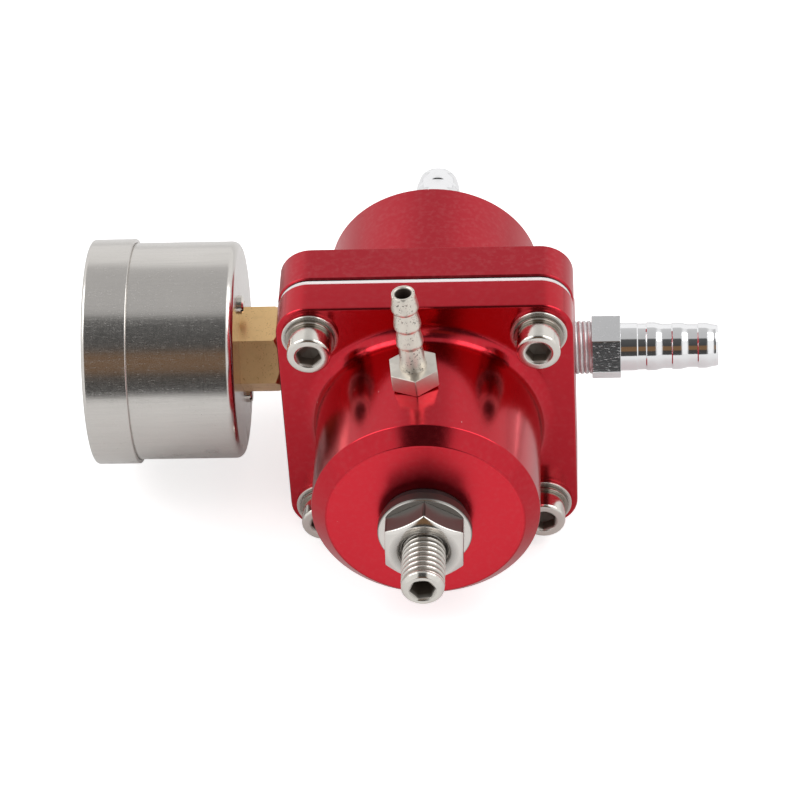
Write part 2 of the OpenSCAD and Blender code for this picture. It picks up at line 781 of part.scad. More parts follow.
module spring_washers() {
    color([0.62, 0.6, 0.55]) on_body() at_bolts()
        translate([0, 0, cap_flange_z + flat_washer_t])
            rotate([0, 0, washer_turn]) rotate_extrude(angle = 360 - washer_split)
                translate([bolt_d / 2 + thread_clear, 0])
                    square([(spring_washer_d - bolt_d) / 2 - thread_clear, spring_washer_t]);
}

module flat_washers() {
    color([0.8, 0.77, 0.7]) on_body() at_bolts() translate([0, 0, cap_flange_z])
        difference() {
            bar(flat_washer_d, flat_washer_t, small_edge / 2, small_edge);
            translate([0, 0, -cut]) cylinder(d = bolt_d + 2 * pass_clear, h = flat_washer_t + 2 * cut);
        }
}

// Fittings

module vacuum_nipple() {
    hex_top = nipple_seat_r + nipple_hex_h;
    first = hex_top + nipple_lead;
    root_r = nipple_root_d / 2;
    peak_r = nipple_barb_d / 2;
    foot_r = spring_chamber_d / 2 + end_edge;
    outline = [for (i = [0 : nipple_barbs - 1])
               let (z = first + i * nipple_barb_pitch)
               each [[root_r, z], [peak_r, z + nipple_rise], [peak_r, z + nipple_rise + nipple_land],
                     [root_r, z + nipple_barb_pitch - nipple_runout]]];
    tip = hex_top + nipple_len;
    color([0.82, 0.8, 0.75]) on_nipple() difference() {
        union() {
            translate([0, 0, foot_r]) bar(nipple_thread_d, nipple_seat_r - foot_r + cut, small_edge, 0);
            translate([0, 0, nipple_seat_r]) rotate([0, 0, 90 + nipple_hex_turn])
                hexagon(nipple_hex_af, nipple_hex_h);
            rotate_extrude()
                polygon(concat([[0, hex_top - cut], [nipple_foot_d / 2, hex_top - cut]], outline,
                               [[root_r - nipple_tip, tip], [0, tip]]));
        }
        cylinder(d = nipple_bore_d, h = tip + cut);
    }
}

module inlet_barb() {
    color([0.86, 0.86, 0.87]) on_port(1, inlet_port_depth) hose_barb();
}

module return_barb() {
    color([0.86, 0.86, 0.87]) on_return() hose_barb();
}

// Gauge

module gauge_socket() {
    arm_z = (tube_low_z + block_top_z) / 2;
    yoke_len = 2 * case_screw_pos + case_head_d;
    color([0.72, 0.56, 0.32]) on_gauge() difference() {
        union() {
            pipe_cone(-pipe_engage, gauge_stand, 0);
            translate([0, 0, gauge_stand]) rotate([0, 0, gauge_hex_turn]) intersection() {
                hexagon(gauge_hex_af, gauge_hex_len);
                bar(2 * gauge_hex_af / root3, gauge_hex_len, gauge_hex_edge, 0);
            }
            translate([0, 0, case_back_z - cut]) cylinder(d = gauge_neck_d, h = case_wall + 2 * cut);
            translate([0, 0, case_in_z]) cylinder(d = gauge_block_d, h = block_top_z - case_in_z);
            translate([-yoke_w / 2, -yoke_len / 2, case_in_z]) cube([yoke_w, yoke_len, yoke_t]);
            rotate([0, 0, arm_at]) translate([0, -arm_w / 2, case_in_z])
                cube([tube_r + tube_t, arm_w, block_top_z - case_in_z - seat_gap / 2]);
        }
        translate([0, 0, -pipe_engage - cut]) cylinder(d = gauge_bore_d, h = pipe_engage + arm_z + cut);
        translate([0, 0, arm_z]) rotate([0, 90, arm_at]) cylinder(d = tube_feed_d, h = tube_r);
        rotate([0, 0, arm_at]) translate([tube_r - tube_feed_d / 4, 0, arm_z]) rotate([90, 0, 0])
            cylinder(d = tube_feed_d / 2, h = arm_w);
        for (sy = [-1, 1]) translate([0, sy * case_screw_pos, case_in_z - cut])
            cylinder(d = case_screw_d + 2 * thread_clear, h = yoke_t + 2 * cut);
    }
}

// Half section of a cup with a rounded bottom edge
module cup_half(r, h, round) {
    translate([0, round]) square([r, h - round]);
    square([r - round, round + touch_gap]);
    translate([r - round, round]) circle(r = round);
}

module gauge_case() {
    len = case_rim_z - case_back_z;
    color([0.72, 0.72, 0.72]) on_gauge() translate([0, 0, case_back_z]) difference() {
        rotate_extrude() intersection() {
            cup_half(case_d / 2, len, case_round);
            square([case_d, len]);
        }
        translate([0, 0, case_wall]) rotate_extrude() intersection() {
            cup_half(case_bore_r, len, case_round - case_wall / 2);
            square([case_d, len]);
        }
        translate([0, 0, -cut]) cylinder(d = gauge_neck_d + 2 * slip_clear, h = case_wall + 2 * cut);
        for (sy = [-1, 1]) translate([0, sy * case_screw_pos, -cut])
            cylinder(d = case_screw_d + pass_clear, h = case_wall + 2 * cut);
    }
}

module gauge_bezel() {
    r = bezel_d / 2;
    bore_r = case_d / 2 + slip_clear;
    lip_r = case_bore_r - bezel_lip;
    round = bezel_wall;
    color([0.74, 0.74, 0.74]) on_gauge() rotate_extrude() difference() {
        union() {
            translate([lip_r, bezel_low_z]) square([r - lip_r, bezel_len - round]);
            translate([lip_r, bezel_low_z]) square([r - lip_r - round, bezel_len]);
            translate([r - round, gauge_front_z - round]) circle(r = round);
        }
        translate([lip_r - cut, bezel_low_z - cut])
            square([bore_r - lip_r + cut, bezel_len - bezel_wall + cut]);
    }
}

module gauge_lens() {
    color([0.85, 0.92, 0.95, 0.35]) on_gauge() translate([0, 0, lens_low_z])
        bar(case_d - 2 * slip_clear, lens_t, small_edge / 2, small_edge / 2);
}

module lens_gasket() {
    color([0.1, 0.1, 0.1]) on_gauge() translate([0, 0, case_rim_z])
        tube(case_d - 2 * slip_clear, 2 * (case_bore_r - end_edge), gasket_t);
}

module gauge_dial() {
    color([0.95, 0.95, 0.94]) on_gauge() translate([0, 0, dial_z]) difference() {
        cylinder(d = dial_d, h = dial_t);
        translate([0, 0, -cut]) cylinder(r = arbor_r + 2 * pass_clear, h = dial_t + 2 * cut);
        for (sx = [-1, 1]) translate([sx * post_at.x, post_at.y, -cut])
            cylinder(d = dial_screw_d + 2 * slip_clear, h = dial_t + 2 * cut);
        rotate([0, 0, pointer_rest]) translate([stop_at.x, stop_at.y, -cut])
            cylinder(d = stop_d + 2 * slip_clear, h = dial_t + 2 * cut);
    }
}

module dial_screws() {
    color([0.7, 0.6, 0.35]) on_gauge()
        for (sx = [-1, 1]) translate([sx * post_at.x, post_at.y, dial_z + dial_t]) difference() {
            union() {
                bar(dial_head_d, dial_head_t, 0, small_edge / 2);
                translate([0, 0, -dial_t - dial_shank])
                    cylinder(d = dial_screw_d, h = dial_t + dial_shank + touch_gap);
            }
            translate([-dial_head_d, -slot_w / 4, dial_head_t / 2])
                cube([2 * dial_head_d, slot_w / 2, cut]);
        }
}

module stop_pin() {
    color([0.75, 0.75, 0.75]) on_gauge() rotate([0, 0, pointer_rest])
        translate([stop_at.x, stop_at.y, dial_z])
            bar(stop_d, pointer_z + pointer_t - dial_z, 0, small_edge / 3);
}

module gauge_pointer() {
    half = pointer_w / 2;
    tip = pointer_tip_w / 2;
    color([0.06, 0.06, 0.06]) on_gauge() rotate([0, 0, pointer_rest]) difference() {
        union() {
            translate([0, 0, pointer_z]) linear_extrude(pointer_t)
                polygon([[-pointer_tail, -half], [0, -half], [pointer_len, -tip], [pointer_len, tip],
                         [0, half], [-pointer_tail, half]]);
            translate([0, 0, pointer_z]) bar(hub_d, hub_h, 0, small_edge);
        }
        translate([0, 0, pointer_z - cut]) cylinder(r = arbor_r, h = hub_h + 2 * cut);
    }
}

// Involute tooth flank: half tooth angle at radius r for pitch radius pr and t teeth
function inv(a) = tan(a) * 180 / PI - a;
function half_tooth(r, pr, teeth) =
    let (rb = pr * cos(pressure_angle), a = r > rb ? acos(rb / r) : 0)
    90 / teeth - gear_backlash / 2 / pr * 180 / PI + inv(pressure_angle) - inv(a);

function tooth_points(pr, teeth, add, at) =
    let (root = pr - gear_dedendum, steps = [0, 0.35, 0.7, 1],
         radii = concat([root], [for (s = steps) pr - gear_module * 0.3 + s * (add + gear_module * 0.3)]))
    concat([for (r = radii) let (h = half_tooth(r, pr, teeth)) r * [cos(at - h), sin(at - h)]],
           [for (i = [len(radii) - 1 : -1 : 0])
            let (r = radii[i], h = half_tooth(r, pr, teeth)) r * [cos(at + h), sin(at + h)]]);

module pointer_pinion() {
    teeth_low = sector_z - seat_gap;
    color([0.75, 0.62, 0.35]) on_gauge() {
        translate([0, 0, back_plate_z + seat_gap])
            cylinder(r = arbor_r, h = pointer_z + hub_h - back_plate_z - seat_gap);
        translate([0, 0, teeth_low]) linear_extrude(sector_t + 2 * seat_gap)
            polygon([for (i = [0 : pinion_teeth - 1])
                     each tooth_points(pinion_pr, pinion_teeth, pinion_addendum,
                                       270 + i * 360 / pinion_teeth)]);
    }
}

module sector_gear() {
    root_r = sector_pr - gear_dedendum;
    first = 90 + 1.5 * tooth_step;
    last = first - (sector_tooth_count - 1) * tooth_step;
    teeth = [for (i = [sector_tooth_count - 1 : -1 : 0])
             each tooth_points(sector_pr, sector_teeth, sector_addendum, first - i * tooth_step)];
    rim = root_r - sector_rim;
    edge = 0.5 * tooth_step;
    color([0.75, 0.62, 0.35]) on_gauge() translate([0, -gear_centres, 0]) {
        translate([0, 0, sector_z]) linear_extrude(sector_t) {
            polygon(concat(teeth, [for (a = [first + edge : -tooth_step : last - edge - 1])
                                   rim * [cos(a), sin(a)]]));
            for (a = [first - tooth_step, (first + last) / 2, last + tooth_step])
                rotate(a) translate([0, -spoke_w / 2]) square([rim + spoke_w / 2, spoke_w]);
            circle(r = 2 * pivot_r + small_edge);
            rotate(tail_rest) translate([0, -tail_w / 2]) square([tail_r, tail_w]);
            rotate(tail_rest) translate([tail_r, 0]) circle(d = tail_w);
        }
        translate([0, 0, back_plate_z + seat_gap])
            cylinder(r = pivot_r, h = front_plate_z + movement_plate_t - back_plate_z - 2 * seat_gap);
        rotate([0, 0, tail_rest]) translate([tail_r, 0, sector_z])
            cylinder(r = tail_pin_r, h = link_z + link_t - sector_z);
    }
}

module tip_link() {
    run = tip_at - tail_at;
    hole_r = tail_pin_r + tail_r * (1 - cos(sector_turn / 2)) + 2 * run_clear;
    color([0.8, 0.7, 0.45]) on_gauge() translate([0, 0, link_z]) difference() {
        union() {
            translate(tail_at) cylinder(r = hole_r + link_rim, h = link_t);
            translate(tip_at) cylinder(r = tip_pin_r + link_rim, h = link_t);
            translate(tail_at) rotate([0, 0, atan2(run.y, run.x)]) translate([0, -link_w / 2, 0])
                cube([norm(run), link_w, link_t]);
        }
        translate([tail_at.x, tail_at.y, -cut]) cylinder(r = hole_r, h = link_t + 2 * cut);
        translate([tip_at.x, tip_at.y, -cut]) cylinder(r = tip_pin_r + slip_clear, h = link_t + 2 * cut);
    }
}

module tube_tip() {
    low = tube_low_z + seat_gap;
    post = tip_post;
    color([0.75, 0.62, 0.35]) on_gauge() rotate([0, 0, tube_start])
        translate([tube_r, -tip_size / 2, low]) {
        translate([-tip_size / 2, -tip_size / 2, 0])
            cube([tip_size, tip_size - touch_gap, tube_w - 2 * seat_gap]);
        translate([-post / 2, -post / 2, 0]) cube([post, post, link_z - low - touch_gap]);
        cylinder(r = tip_pin_r, h = link_z + link_t + seat_gap - low);
    }
}

module bourdon_tube() {
    wall = tube_wall;
    color([0.75, 0.55, 0.3]) on_gauge() translate([0, 0, tube_low_z + tube_w / 2])
        rotate([0, 0, tube_start]) rotate_extrude(angle = tube_end - tube_start)
            translate([tube_r, 0]) difference() {
                square([tube_t, tube_w], center = true);
                square([tube_t - 2 * wall, tube_w - 2 * wall], center = true);
            }
}

// Outline shared by the two movement plates
module movement_outline() {
    hull() {
        translate([0, -gear_centres]) circle(r = plate_edge, $fn = 24);
        for (sx = [-1, 1]) translate([sx * post_at.x, post_at.y]) circle(r = plate_edge, $fn = 24);
    }
}

module movement_holes() {
    translate([0, 0, -cut]) cylinder(r = arbor_r + run_clear, h = movement_plate_t + 2 * cut);
    translate([0, -gear_centres, -cut])
        cylinder(r = pivot_r + run_clear, h = movement_plate_t + 2 * cut);
}

module movement_back_plate() {
    color([0.78, 0.66, 0.4]) on_gauge() translate([0, 0, back_plate_z]) difference() {
        linear_extrude(movement_plate_t) movement_outline();
        movement_holes();
    }
}

module movement_front_plate() {
    color([0.78, 0.66, 0.4]) on_gauge() translate([0, 0, front_plate_z]) difference() {
        union() {
            linear_extrude(movement_plate_t) movement_outline();
            for (sx = [-1, 1]) translate([sx * post_at.x, post_at.y, 0]) {
                translate([0, 0, back_plate_z + movement_plate_t - front_plate_z])
                    cylinder(r = post_r, h = front_plate_z - back_plate_z);
                cylinder(r = post_r, h = dial_z - front_plate_z);
            }
        }
        movement_holes();
        for (sx = [-1, 1])
            translate([sx * post_at.x, post_at.y, dial_z - front_plate_z - dial_shank - seat_gap])
                cylinder(d = dial_screw_d + 2 * thread_clear, h = dial_shank + seat_gap + cut);
    }
}

module hairspring() {
    wall = hairspring_t;
    inner = arbor_r + 2 * seat_gap;
    outer = hairspring_r;
    steps = 28;
    count = hairspring_turns * steps;
    function spot(i, off) =
        let (r = inner + (outer - inner) * i / count + off, a = 360 * i / steps) r * [cos(a), sin(a)];
    color([0.5, 0.55, 0.7]) on_gauge() translate([0, 0, hairspring_z]) {
        linear_extrude(hairspring_w)
            polygon(concat([for (i = [0 : count]) spot(i, wall / 2)],
                           [for (i = [count : -1 : 0]) spot(i, -wall / 2)]));
        tube(2 * inner, 2 * arbor_r + 2 * slip_clear, hairspring_w);
        translate([outer, 0, -movement_gap]) cylinder(r = 2 * wall, h = hairspring_w + movement_gap);
    }
}

module case_screws() {
    color([0.7, 0.6, 0.35]) on_gauge() for (sy = [-1, 1])
        translate([0, sy * case_screw_pos, case_back_z]) rotate([180, 0, 0]) difference() {
            union() {
                bar(case_head_d, case_head_h, 0, small_edge);
                translate([0, 0, -case_wall - yoke_t])
                    cylinder(d = case_screw_d, h = case_wall + yoke_t + touch_gap);
            }
            translate([-case_head_d, -slot_w / 2, case_head_h / 2]) cube([2 * case_head_d, slot_w, cut]);
        }
}

base_body();
spring_cap();
diaphragm();
spring_plate();
backing_plate();
valve_stud();
stud_nut();
valve_ball();
return_seat();
main_spring();
spring_button();
adjusting_screw();
lock_nut();
lock_washer();
adjuster_seal();
cap_screws();
spring_washers();
flat_washers();
vacuum_nipple();
inlet_barb();
return_barb();
gauge_socket();
gauge_case();
gauge_bezel();
gauge_lens();
lens_gasket();
gauge_dial();
dial_screws();
stop_pin();
gauge_pointer();
pointer_pinion();
sector_gear();
tip_link();
tube_tip();
bourdon_tube();
movement_back_plate();
movement_front_plate();
hairspring();
case_screws();
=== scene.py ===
"""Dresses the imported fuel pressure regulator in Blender.

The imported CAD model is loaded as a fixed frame. Turned, hexagonal and threaded
pieces are rebuilt ring by ring with their real detail, the base and the gauge's
stem get softened edges, inner pieces that give way follow what they are fixed
to, and every piece gets a procedural finish.
"""

from __future__ import annotations

import logging
import math
from dataclasses import dataclass
from enum import Enum
from typing import Any, Callable, Optional, Sequence, Union

import bmesh
import bpy
from mathutils import Matrix, Vector
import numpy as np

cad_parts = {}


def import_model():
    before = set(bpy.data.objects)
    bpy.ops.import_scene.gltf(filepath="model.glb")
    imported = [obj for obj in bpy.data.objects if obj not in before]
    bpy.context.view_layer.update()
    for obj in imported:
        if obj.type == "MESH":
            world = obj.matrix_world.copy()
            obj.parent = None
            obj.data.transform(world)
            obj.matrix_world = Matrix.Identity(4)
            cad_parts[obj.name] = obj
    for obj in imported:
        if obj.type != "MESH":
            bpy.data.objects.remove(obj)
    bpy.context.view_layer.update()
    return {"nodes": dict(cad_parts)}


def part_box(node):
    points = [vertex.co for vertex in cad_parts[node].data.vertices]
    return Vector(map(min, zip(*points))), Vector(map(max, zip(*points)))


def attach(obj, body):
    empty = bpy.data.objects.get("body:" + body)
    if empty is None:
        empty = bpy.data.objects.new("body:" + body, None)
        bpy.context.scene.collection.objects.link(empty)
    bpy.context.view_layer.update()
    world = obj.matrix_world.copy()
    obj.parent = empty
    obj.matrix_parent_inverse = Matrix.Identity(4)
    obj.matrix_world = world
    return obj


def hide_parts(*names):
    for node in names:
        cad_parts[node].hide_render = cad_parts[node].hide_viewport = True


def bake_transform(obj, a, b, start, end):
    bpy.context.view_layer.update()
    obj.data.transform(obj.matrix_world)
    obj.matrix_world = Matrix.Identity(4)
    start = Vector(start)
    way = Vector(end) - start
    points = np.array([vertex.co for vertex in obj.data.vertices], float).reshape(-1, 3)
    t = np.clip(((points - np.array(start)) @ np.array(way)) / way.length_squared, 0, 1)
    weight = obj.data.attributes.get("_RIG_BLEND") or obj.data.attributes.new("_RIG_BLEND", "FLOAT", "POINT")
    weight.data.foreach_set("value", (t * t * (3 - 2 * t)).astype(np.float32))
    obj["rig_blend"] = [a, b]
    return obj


LOG = logging.getLogger("regulator")
MM = 0.001
MERGE = 1e-6
TONE = "tone"
STILL = Matrix.Identity(4)

Rule = Union[float, Callable[[float], float]]
Colour = tuple[float, float, float]


class Slot(Enum):
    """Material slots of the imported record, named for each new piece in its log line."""

    RED = "red_anodised"
    RUBBER = "black_rubber"
    NICKEL = "nickel_steel"
    PLATED = "plated_steel"
    SPRING = "spring_steel"
    ALUMINIUM = "polished_aluminium"
    BRASS = "brass"
    STAINLESS = "stainless"
    POINTER = "pointer_black"


class Body(Enum):
    """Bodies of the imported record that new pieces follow."""

    HOUSING = "housing"
    VALVE = "valve"
    BUTTON = "button"
    ADJUSTER = "adjuster"
    WASHER = "jam_washer"
    NUT = "jam_nut"
    TUBE_END = "tube_end"


# Outlines and frames


def hexagon(across: float) -> Callable[[float], float]:
    """Gives the radius rule of a hexagon with corners on multiples of 60 degrees.

    Args:
        across: Distance across flats in millimetres.

    Returns:
        A function from angle in radians to radius in millimetres.
    """

    def radius(angle: float) -> float:
        """Radius of the hexagon at this angle."""
        return across / 2 / math.cos(angle % (math.pi / 3) - math.pi / 6)

    return radius


def rounded_square(half: float, corner: float) -> Callable[[float], float]:
    """Gives the radius rule of a square with round corners.

    Args:
        half: Half the square's width in millimetres.
        corner: Corner radius in millimetres.

    Returns:
        A function from angle in radians to radius in millimetres.
    """
    middle = half - corner

    def radius(angle: float) -> float:
        """Radius of the rounded square at this angle."""
        low, high = sorted((abs(math.cos(angle)), abs(math.sin(angle))))
        if half * low / high <= middle:
            return half / high
        along = middle * (low + high)
        return along + math.sqrt(max(0.0, along**2 - 2 * middle**2 + corner**2))

    return radius


def turned(x: float, y: float, z: float) -> Matrix:
    """Turns about X, then Y, then Z, in degrees."""
    parts = [Matrix.Rotation(math.radians(a), 4, n) for a, n in ((z, "Z"), (y, "Y"), (x, "X"))]
    return parts[0] @ parts[1] @ parts[2]


def moved(x: float, y: float, z: float) -> Matrix:
    """Moves by millimetres."""
    return Matrix.Translation(Vector((x, y, z)) * MM)


@dataclass(frozen=True)
class Layout:
    """Sizes that place the pieces, in millimetres, as the part's source has them."""

    flange_width: float = 55.0
    base_flange: float = 8.8
    base_length: float = 35.9
    inlet_depth: float = 11.3
    gauge_depth: float = 12.4
    joint: float = 1.2
    cap_flange: float = 8.8
    cap_face: float = 36.4
    nipple_at: float = 20.2
    nipple_lean: float = 3.5

    def body(self) -> Matrix:
        """Frame whose Z runs forward along the body axis from the joint face."""
        return moved(0, -self.base_flange / 2, self.flange_width / 2) @ turned(90, 0, 0)

    def inlet(self) -> Matrix:
        """Frame whose Z runs out of the inlet port."""
        return self.body() @ moved(self.flange_width / 2, 0, -self.inlet_depth) @ turned(0, 90, 0)

    def outlet(self) -> Matrix:
        """Frame whose Z runs out of the return port."""
        return self.body() @ moved(0, 0, -self.base_length) @ turned(180, 0, 0)

    def gauge(self) -> Matrix:
        """Frame whose Z runs out of the gauge port to the dial, X right and Y up."""
        side = self.gauge_depth - self.base_flange / 2
        return moved(-self.flange_width / 2, side, self.flange_width / 2) @ turned(90, 0, -90)

    def nipple(self) -> Matrix:
        """Frame whose Z runs out along the vacuum nipple from the body axis."""
        up = self.joint + self.nipple_at
        return self.body() @ moved(0, 0, up) @ turned(-90, 0, self.nipple_lean)


LAYOUT = Layout()


# Shapes


def toned_mesh() -> bmesh.types.BMesh:
    """Starts an empty mesh that can carry a finish's second tone."""
    bm = bmesh.new()
    bm.verts.layers.float.new(TONE)
    return bm


def merged(node: bpy.types.Object) -> bmesh.types.BMesh:
    """Gives a copy of a CAD node's mesh with its loose triangles joined."""
    bm = bmesh.new()
    bm.from_mesh(node.data)
    bmesh.ops.remove_doubles(bm, verts=bm.verts, dist=MERGE)
    return bm


def as_mesh(bm: bmesh.types.BMesh, name: str) -> bpy.types.Mesh:
    """Writes a mesh under a name and frees the working copy."""
    mesh = bpy.data.meshes.new(name)
    bm.to_mesh(mesh)
    bm.free()
    return mesh


def linked(name: str, data: Any) -> bpy.types.Object:
    """Makes an object of its data and links it to the scene."""
    obj = bpy.data.objects.new(name, data)
    bpy.context.scene.collection.objects.link(obj)
    return obj


def points_of(made: Sequence[Any]) -> list[bmesh.types.BMVert]:
    """Picks the points out of what an operator made."""
    return [g for g in made if isinstance(g, bmesh.types.BMVert)]


def open_edges(bm: bmesh.types.BMesh) -> list[bmesh.types.BMEdge]:
    """Lists the edges that have a face on one side only."""
    return [e for e in bm.edges if e.is_boundary]


def cut_off(bm: bmesh.types.BMesh, place: Sequence[float], away: Sequence[float]) -> None:
    """Cuts a mesh at a plane and drops what lies beyond it.

    Args:
        bm: The mesh.
        place: A point of the plane, in metres.
        away: The direction that is dropped.
    """
    bmesh.ops.bisect_plane(
        bm, geom=[*bm.verts, *bm.edges, *bm.faces], dist=1e-8, plane_co=place, plane_no=away, clear_outer=True
    )


class RingStack:
    """A skin that grows ring by ring along Z from one circle."""

    def __init__(self, segments: int = 96) -> None:
        """Starts an empty skin.

        Args:
            segments: Points in each ring.
        """
        self.bm = toned_mesh()
        self.tone = self.bm.verts.layers.float[TONE]
        self.segments = segments
        self.first: list[bmesh.types.BMEdge] = []
        self.last: list[bmesh.types.BMEdge] = []

    def ring(self, radius: Rule, height: Rule, tone: float = 0.0) -> RingStack:
        """Adds the next ring.

        Args:
            radius: Radius in millimetres, or a rule that gives it for an angle.
            height: Height in millimetres, or a rule that gives it for an angle.
            tone: How much of the finish's second tone the ring has, from 0 to 1.

        Returns:
            The same skin, so that rings can be chained.
        """
        if self.last:
            made = bmesh.ops.extrude_edge_only(self.bm, edges=self.last)["geom"]
            verts = points_of(made)
            fresh = set(verts)
            edges = [g for g in made if isinstance(g, bmesh.types.BMEdge) and fresh.issuperset(g.verts)]
        else:
            made = bmesh.ops.create_circle(self.bm, cap_ends=False, radius=1.0, segments=self.segments)
            verts = made["verts"]
            edges = list(dict.fromkeys(e for v in verts for e in v.link_edges))
            self.first = edges
        for vert in verts:
            angle = math.atan2(vert.co.y, vert.co.x)
            out = radius(angle) if callable(radius) else radius
            up = height(angle) if callable(height) else height
            vert.co = Vector((out * math.cos(angle), out * math.sin(angle), up)) * MM
            vert[self.tone] = tone
        self.last = edges
        return self

    def rings(self, *points: tuple[float, float], tone: float = 0.0) -> RingStack:
        """Adds round rings.

        Args:
            points: Radius and height of each ring, in millimetres.
            tone: How much of the finish's second tone they have, from 0 to 1.

        Returns:
            The same skin.
        """
        for radius, height in points:
            self.ring(radius, height, tone)
        return self

    def arc(
        self, centre: tuple[float, float], size: float, start: float, end: float, steps: int
    ) -> RingStack:
        """Adds round rings along an arc of the outline.

        Args:
            centre: Radius and height of the arc's centre.
            size: Radius of the arc.
            start: First angle in degrees, 0 pointing outward and 90 along Z.
            end: Last angle in degrees.
            steps: Number of steps.

        Returns:
            The same skin.
        """
        for i in range(steps + 1):
            angle = math.radians(start + (end - start) * i / steps)
            self.ring(centre[0] + size * math.cos(angle), centre[1] + size * math.sin(angle))
        return self

    def cap(self) -> RingStack:
        """Fills the last ring."""
        bmesh.ops.contextual_create(self.bm, geom=self.last)
        return self

    def cap_start(self) -> RingStack:
        """Fills the first ring."""
        bmesh.ops.contextual_create(self.bm, geom=self.first)
        return self

    def close(self) -> RingStack:
        """Joins the last ring to the first one, as a bored piece needs."""
        bmesh.ops.bridge_loops(self.bm, edges=self.first + self.last)
        return self

    def soften(self, width: float, over: float = 25.0) -> RingStack:
        """Rounds the sharp edges.

        Args:
            width: Width of the rounding in millimetres.
            over: Edges that turn by more than this many degrees are rounded.

        Returns:
            The same skin.
        """
        soften_edges(self.bm, width, over)
        return self


def soften_edges(bm: bmesh.types.BMesh, width: float, over: float = 25.0) -> None:
    """Turns faces outward and rounds a mesh's sharp edges.

    Args:
        bm: The mesh.
        width: Width of the rounding in millimetres.
        over: Edges that turn by more than this many degrees are rounded.
    """
    bmesh.ops.recalc_face_normals(bm, faces=bm.faces)
    limit = math.radians(over)
    sharp = [e for e in bm.edges if len(e.link_faces) == 2 and e.calc_face_angle() > limit]
    bmesh.ops.bevel(
        bm, geom=sharp, offset=width * MM, offset_type="OFFSET", segments=2,
        profile=0.5, affect="EDGES", material=-1, clamp_overlap=True,
    )


@dataclass(frozen=True)
class Thread:
    """A right-hand vee thread along Z, in millimetres.

    Attributes:
        major: Outside diameter.
        pitch: Rise of one turn.
        start: Height of the lower end.
        end: Height of the upper end.
        taper: Radius lost for each millimetre below the frame's origin.
        deep: Depth as a share of the pitch.
        dull: Least share of the second tone, the painted shade, over the whole thread.
        steps: Steps in one turn.
        spare: Turns past each end that are made and cut off again.
        flank: Half of the profile, as shares of the pitch and of the depth.
    """

    major: float
    pitch: float
    start: float
    end: float
    taper: float = 0.0
    deep: float = 0.58
    dull: float = 0.0
    steps: int = 48
    spare: float = 1.5
    flank: tuple[tuple[float, float], ...] = (
        (0.0, 0.0), (0.1, 0.02), (0.2, 0.1), (0.3, 0.26), (0.38, 0.5), (0.45, 0.9)
    )

    def build(self) -> bmesh.types.BMesh:
        """Makes the thread's skin with flat rims at its ends.

        Returns:
            A new mesh.
        """
        bm = toned_mesh()
        tone = bm.verts.layers.float[TONE]
        crest, depth = self.major / 2, self.deep * self.pitch
        marks = (*self.flank, (0.5, 1.0), *((1 - t, d) for t, d in reversed(self.flank)))
        foot = self.start - self.spare * self.pitch
        verts = [bm.verts.new(Vector((crest - depth * d, 0, foot + t * self.pitch)) * MM) for t, d in marks]
        # The tone grows from crest to root: painted shade in the thread's grooves.
        for vert, (_, share) in zip(verts, marks):
            vert[tone] = max(share, self.dull)
        edges = [bm.edges.new(pair) for pair in zip(verts, verts[1:])]
        turns = math.ceil((self.end - self.start) / self.pitch) + round(2 * self.spare)
        bmesh.ops.spin(
            bm, geom=verts + edges, cent=(0, 0, 0), axis=(0, 0, 1), angle=2 * math.pi * turns,
            dvec=(0, 0, self.pitch / self.steps * MM), steps=self.steps * turns,
            use_merge=False, use_normal_flip=False, use_duplicate=False,
        )
        bmesh.ops.remove_doubles(bm, verts=bm.verts, dist=MERGE)
        for vert in bm.verts:
            vert.co.xy *= 1 + self.taper * min(0.0, vert.co.z) / vert.co.xy.length
        for height, way in ((self.start, -1), (self.end, 1)):
            cut_off(bm, (0, 0, height * MM), (0, 0, way))
        rims = bmesh.ops.extrude_edge_only(bm, edges=open_edges(bm))["geom"]
        for vert in points_of(rims):
            vert.co.xy *= (crest - 2 * depth) * MM / vert.co.xy.length
        bmesh.ops.recalc_face_normals(bm, faces=bm.faces)
        return bm


class Piece:
    """One finished object, gathered from placed parts."""

    def __init__(self, name: str) -> None:
        """Starts an empty piece.

        Args:
            name: The object's name.
        """
        self.name = name
        self.bm = toned_mesh()

    def add(self, part: Union[RingStack, bmesh.types.BMesh], place: Matrix) -> Piece:
        """Adds a part in its place and frees it.

        Args:
            part: A ring stack or a mesh, in its own frame.
            place: The frame it is set in.

        Returns:
            The same piece.
        """
        bm = part.bm if isinstance(part, RingStack) else part
        bmesh.ops.recalc_face_normals(bm, faces=bm.faces)
        bmesh.ops.transform(bm, matrix=place, verts=bm.verts)
        mesh = as_mesh(bm, "part")
        self.bm.from_mesh(mesh)
        bpy.data.meshes.remove(mesh)
        return self

    def finish(
        self, finish: Finish, slot: Slot, body: Optional[Body], *nodes: str, crease: float = 40.0
    ) -> bpy.types.Object:
        """Makes the object, gives it its finish and sets it on its body.

        Args:
            finish: The surface finish.
            slot: The record's material slot.
            body: The body it rides on, or None for a piece that is blended between two.
            nodes: CAD nodes that it stands for.
            crease: Edges that turn by more than this many degrees stay sharp.

        Returns:
            The new object.
        """
        mesh = as_mesh(self.bm, self.name)
        mesh.shade_smooth()
        mesh.set_sharp_from_angle(angle=math.radians(crease))
        obj = linked(self.name, mesh)
        even = obj.modifiers.new("even_normals", "WEIGHTED_NORMAL")
        even.keep_sharp = True
        mesh.materials.append(finish.material())
        if body:
            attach(obj, body.value)
        if nodes:
            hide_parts(*nodes)
        LOG.info("%s: %d faces, %s", self.name, len(mesh.polygons), slot.value)
        return obj


# Shader graph


